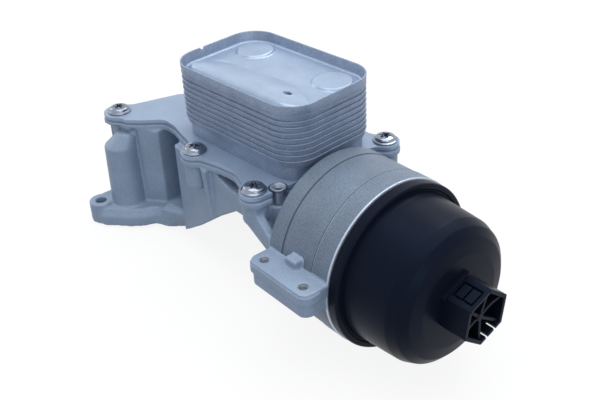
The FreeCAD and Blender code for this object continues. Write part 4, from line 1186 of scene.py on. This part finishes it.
@dataclass
class HexDrive:
    """Hollow 27 mm hex with thin ribs to a small hub, a window in one flat and two slits in another."""

    root: float = 214.0
    end: float = 231.5
    flats: float = 27.0
    turn: float = 21.6
    wall: float = 2.0
    corner: float = 1.1
    edge_round: float = 0.28
    rib: float = 1.5
    rib_drop: float = 1.2
    hub: float = 2.1
    hub_stand: float = 0.2
    hub_place: Spot = (-2.8, 1.1)
    bow: float = 1.7
    window_flat: int = 1
    window: Spot = (218.1, 229.9)
    window_half: float = 4.6
    window_floor: Spot = (3.0, 1.7)
    slit_flat: int = 4
    slits: tuple[Spot, ...] = ((-3.6, -2.4), (2.2, 3.4))
    slit_start: float = 226.0
    blocks: tuple[Spot, ...] = ((219.3, 223.5), (224.4, 229.1))
    block_inset: float = 0.9
    block_depth: Spot = (2.0, 0.15)
    block_round: float = 0.25
    bar: Spot = (213.6, 217.8)
    bar_half: float = 9.4
    bar_depth: Spot = (1.0, -1.4)

    def _loop(self) -> tuple[np.ndarray, np.ndarray, np.ndarray]:
        """Points round the hex: the flat's distance out, and a place along it, bent round each corner.

        Returns:
            Number of each column's flat, its place along the flat, which is no number on a corner,
            and the points (y, z).
        """
        stop = (self.flats / 2 - self.corner) * math.tan(math.radians(30))
        slit_edges = [edge for slit in self.slits for edge in slit]
        along = np.array(sorted({-stop, -self.window_half, self.window_half, *slit_edges, 0.0, stop}))
        bends = np.radians([12.0, 24.0, 36.0, 48.0])
        reach = corner_reach(self.flats / 2 - self.corner)
        points = []
        for k in range(6):
            normal, tip = (math.radians(self.turn + past + 60 * k) for past in (30, 60))
            points.append(heading(normal) * self.flats / 2 + along[:, None] * heading(normal + math.pi / 2))
            arc = np.column_stack([np.cos(normal + bends), np.sin(normal + bends)])
            points.append(heading(tip) * reach + self.corner * arc)
        places = np.concatenate([along, np.full(len(bends), np.nan)])
        return np.repeat(np.arange(6), len(places)), np.tile(places, 6), np.concatenate(points)

    def shell(self) -> Piece:
        """Sheet round the hex with quads left out at the window and slits, given its wall by Solidify.

        Returns:
            The hex.
        """
        flat, place, loop = self._loop()
        levels = [self.root, *self.window, self.slit_start, self.end]
        x = np.unique(np.concatenate([levels, np.linspace(self.root, self.end, 9)]))
        cols = len(loop)
        points = np.column_stack([np.repeat(x, cols), np.tile(loop + FILTER_AXIS, (len(x), 1))])
        quads = grid_quads(len(x), cols)
        row, col = np.divmod(np.arange(len(quads)), cols)
        middle = (place[col] + place[(col + 1) % cols]) / 2
        high, low = x[row + 1] - 0.01, x[row] + 0.01
        in_window = (flat[col] == self.window_flat) & (np.abs(middle) < self.window_half)
        in_window &= (low > self.window[0]) & (high < self.window[1])
        in_slit = np.any([(middle > a) & (middle < b) for a, b in self.slits], axis=0)
        in_slit &= (flat[col] == self.slit_flat) & (low > self.slit_start)
        kept = quads[~(in_window | in_slit)]
        piece = add_mesh("hex_drive", [(points, kept)], finish("black_plastic"), outward=False)
        add_modifier(piece, "wall", "SOLIDIFY", thickness=self.wall * MM, offset=-1.0)
        add_modifier(piece, "moulded_edges", "BEVEL", width=self.edge_round * MM, segments=2,
                     limit_method="ANGLE", angle_limit=math.radians(40))
        return piece

    def ribs(self) -> Piece:
        """Sheets from the hub to each corner; two of them bow sideways by a half sine of the way out.

        Returns:
            The ribs and the hub as one piece.
        """
        radius = corner_reach(self.flats / 2 - self.wall / 2)
        bows = (self.bow, 0.0, 0.0, -self.bow, 0.0, 0.0)
        x = np.array([self.root, self.end - self.rib_drop])
        middle = np.array(self.hub_place)
        parts = []
        for k, bow in enumerate(bows):
            way = heading(math.radians(self.turn + 60 * k)) * radius - middle
            reach = float(np.linalg.norm(way))
            way, across = way / reach, np.array([-way[1], way[0]]) / reach
            out = np.linspace(0.0, reach, 14)
            side = bow * np.sin(np.pi * out / reach)
            both = np.concatenate([side - self.rib / 2, (side + self.rib / 2)[::-1]])
            along = np.concatenate([out, out[::-1]])
            ring = middle + along[:, None] * way + both[:, None] * across + FILTER_AXIS
            parts.append(stacked([np.column_stack([np.full(len(ring), at), ring]) for at in x]))
        face = x[1] + self.hub_stand
        hub = rounded_profile([(x[0], 0.0, 0), (x[0], self.hub, 0), (face, self.hub, 0.3), (face, 0.0, 0)])
        parts.append(turned(hub, tuple(middle + FILTER_AXIS), Axis.FILTER, 24, closed=False))
        return add_mesh("hex_ribs", parts, finish("black_plastic"), sharp=40.0)

    def _box(self, x: Spot, half: float, depth: Spot) -> Grid:
        """Box over the window's flat.

        Args:
            x: its ends along the filter axis.
            half: half its length along the flat.
            depth: how far under the flat's face its foot and its top lie.

        Returns:
            Points and quads.
        """
        normal = math.radians(self.turn + 30 + 60 * self.window_flat)
        low, high = (self.flats / 2 - under for under in depth)
        ring = np.array([(low, -half), (low, half), (high, half), (high, -half)])
        at = ring[:, :1] * heading(normal) + ring[:, 1:] * heading(normal + math.pi / 2) + FILTER_AXIS
        return stacked([np.column_stack([np.full(4, place), at]) for place in x])

    def details(self) -> Piece:
        """Floor of the window, the two blocks that stand in it, and the bar across the flat's foot.

        Returns:
            All four boxes as one piece.
        """
        floor_ends = (self.window[0] - 1.0, self.window[1] + 0.5)
        block_half = self.window_half - self.block_inset
        parts = [self._box(floor_ends, self.window_half + 0.5, self.window_floor),
                 *(self._box(ends, block_half, self.block_depth) for ends in self.blocks),
                 self._box(self.bar, self.bar_half, self.bar_depth)]
        piece = add_mesh("hex_blocks", parts, finish("black_plastic"), sharp=25.0)
        add_modifier(piece, "moulded_edges", "BEVEL", width=self.block_round * MM, segments=2)
        return piece


@dataclass
class ScrewCap:
    """The cap with its drive."""

    body: CapBody
    drive: HexDrive

    def build(self) -> None:
        """Make the cap's shell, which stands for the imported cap, and the hex with its ribs and details."""
        shell = add_mesh("cap_shell", [self.body.build()], finish("black_plastic"), sharp=42.0)
        settle(shell, "cap", "black_plastic", "filter_cap")
        for piece in (self.drive.shell(), self.drive.ribs(), self.drive.details()):
            settle(piece, "cap", "black_plastic")


@dataclass(frozen=True)
class Lamp:
    """Square area lamp that looks at the middle of the part; azimuth is 0 for -Y and 90 for +X."""

    name: str
    azimuth: float
    elevation: float
    distance: float
    size: float
    watts: float

    def build(self, target: Triple) -> None:
        """Put the lamp into the scene.

        Args:
            target: the point that it looks at.
        """
        data = bpy.data.lights.new(self.name, "AREA")
        data.shape = "SQUARE"
        data.size = self.size * MM
        data.energy = self.watts
        lamp = add_object(self.name, data)
        back = direction(self.azimuth, self.elevation)
        lamp.location = (Vector(target) + back * self.distance) * MM
        lamp.rotation_euler = (-back).to_track_quat("-Z", "Y").to_euler()


def direction(azimuth: float, elevation: float) -> Vector:
    """Unit vector from the part to a place at this azimuth and elevation.

    Args:
        azimuth: 0 for -Y and 90 for +X, in degrees.
        elevation: height above the horizon in degrees.

    Returns:
        The vector.
    """
    az, el = math.radians(azimuth), math.radians(elevation)
    return Vector((math.sin(az) * math.cos(el), -math.cos(az) * math.cos(el), math.sin(el)))


@dataclass
class Studio:
    """Camera at the photograph's angle, pale floor, soft lamps and a pale surround."""

    camera_at: Triple = (431.7, -265.5, 307.9)
    azimuth: float = 51.517
    elevation: float = 32.264
    roll: float = -2.9855
    lens: float = 54.09
    sensor: float = 36.0
    clip: Spot = (10.0, 20000.0)
    floor_left: Spot = (-28.0, 0.0)
    floor_right: Spot = (127.2, -11.0)
    floor_gap: float = 0.05
    floor_size: float = 6000.0
    floor_seen: Tone = (250, 250, 252)
    floor_bounced: Tone = (128, 134, 144)
    floor_glow: float = 0.88
    sky: tuple[tuple[float, Triple], ...] = (
        (0.0, (0.42, 0.47, 0.55)), (0.95, (0.96, 0.98, 1.0)), (0.5, (0.56, 0.61, 0.69)))
    sky_strength: float = 0.9
    middle: Triple = (85.0, 0.0, 45.0)
    lamps: tuple[Lamp, ...] = (
        Lamp("top_box", 150.0, 86.0, 900.0, 900.0, 4.4), Lamp("back_box", 192.0, 50.0, 1100.0, 450.0, 2.6),
        Lamp("left_box", -75.0, 24.0, 1200.0, 600.0, 1.5), Lamp("right_box", 70.0, 20.0, 1200.0, 600.0, 1.9))

    def camera(self) -> None:
        """Place the camera; its back axis comes from azimuth and elevation, then roll turns it."""
        back, roll = direction(self.azimuth, self.elevation), math.radians(self.roll)
        right = (-back).cross(Vector((0, 0, 1))).normalized()
        up = right.cross(-back)
        turned_right = math.cos(roll) * right + math.sin(roll) * up
        turned_up = -math.sin(roll) * right + math.cos(roll) * up
        data = bpy.data.cameras.new("photo_camera")
        data.lens = self.lens
        data.sensor_width = self.sensor
        data.clip_start, data.clip_end = (reach * MM for reach in self.clip)
        camera = add_object("photo_camera", data)
        axes = Matrix((turned_right, turned_up, back)).transposed().to_4x4()
        axes.translation = Vector(self.camera_at) * MM
        camera.matrix_world = axes
        bpy.context.scene.camera = camera

    def floor(self) -> None:
        """Square under the two lowest points that the part rests on."""
        (x0, z0), (x1, z1) = self.floor_left, self.floor_right
        side = np.array([-1.0, 1.0]) * self.floor_size / 2
        x, y = np.meshgrid(side, side)
        z = z0 - self.floor_gap + (z1 - z0) / (x1 - x0) * (x - x0)
        points = np.column_stack([x.ravel(), y.ravel(), z.ravel()])
        floor = add_mesh("floor", [(points, np.array([[0, 1, 3, 2]]))], self._floor_material(), outward=False)
        floor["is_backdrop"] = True

    def _floor_material(self) -> bpy.types.Material:
        """White floor to camera and mirror rays, its shadow kept, and a greyer one to soft bounces.

        Returns:
            The material.
        """
        made = bpy.data.materials.new("pale_floor")
        made.use_nodes = True
        made.node_tree.nodes.clear()
        shading = Shading(made.node_tree)
        seen = shading.seen_directly()
        tones = {"A": linear(self.floor_bounced), "B": linear(self.floor_seen), "Factor": seen}
        tone = shading.add("Mix", tones, data_type="RGBA").outputs["Result"]
        diffuse = shading.add("BsdfDiffuse", {"Color": tone}).outputs[0]
        glow = shading.add("Emission", {"Color": WHITE}).outputs[0]
        share = shading.add("Math", {0: seen, 1: self.floor_glow}, operation="MULTIPLY").outputs[0]
        blend = shading.add("MixShader", {"Fac": share, 1: diffuse, 2: glow}).outputs[0]
        shading.add("OutputMaterial", {"Surface": blend})
        return made

    def surround(self) -> None:
        """World: tone by height, dim below and bright overhead, and white all over to seen rays."""
        world = bpy.data.worlds.new("pale_surround")
        bpy.context.scene.world = world
        world.use_nodes = True
        nodes, shading = world.node_tree.nodes, Shading(world.node_tree)
        where = shading.add("TexCoord", {}).outputs["Generated"]
        height = shading.add("SeparateXYZ", {"Vector": where}).outputs["Z"]
        ramp = shading.add("ValToRGB", {"Fac": height})
        stops = ramp.color_ramp.elements
        (low, low_tone), (high, high_tone), (half, half_tone) = self.sky
        stops[0].position, stops[0].color = low, (*low_tone, 1.0)
        stops[1].position, stops[1].color = high, (*high_tone, 1.0)
        stops.new(half).color = (*half_tone, 1.0)
        soft = nodes["Background"]
        shading.set(soft, {"Color": ramp.outputs["Color"], "Strength": self.sky_strength})
        white = shading.add("Background", {"Color": WHITE, "Strength": 1.0})
        both = {"Fac": shading.seen_directly(), 1: soft.outputs[0], 2: white.outputs[0]}
        shading.set(nodes["World Output"], {"Surface": shading.add("MixShader", both).outputs[0]})

    def build(self) -> None:
        """Set up the whole studio."""
        bpy.context.scene.view_settings.view_transform = "Standard"
        self.camera()
        self.floor()
        self.surround()
        for lamp in self.lamps:
            lamp.build(self.middle)


def dress_nodes(frame: dict) -> None:
    """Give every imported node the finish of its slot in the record.
    """
    for part in frame["record"]["subparts"]:
        node = frame["nodes"][part["node"]]
        node.data.materials.clear()
        node.data.materials.append(finish(part["material_slot"]))


def corners() -> list[list[float]]:
    """Lowest and highest corner of the shown object as plain lists."""
    return [list(corner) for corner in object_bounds()]


def main() -> None:
    """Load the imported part, dress it and set up the studio."""
    logging.basicConfig(level=logging.INFO, format="%(name)s: %(message)s")
    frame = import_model()
    dress_nodes(frame)
    cooler = CoolerFrame()
    Casting().build(frame["nodes"]["housing_casting"])
    BowlBands().build()
    BracketThreads().build()
    BracketLip().build()
    CoolerCover(cooler).build()
    DishLips(cooler).build()
    DeckScrews().build()
    PlateEyelet().build()
    ValveSpring().build()
    ScrewCap(CapBody(), HexDrive()).build()
    Studio().build()


if __name__ == "__main__":
    main()
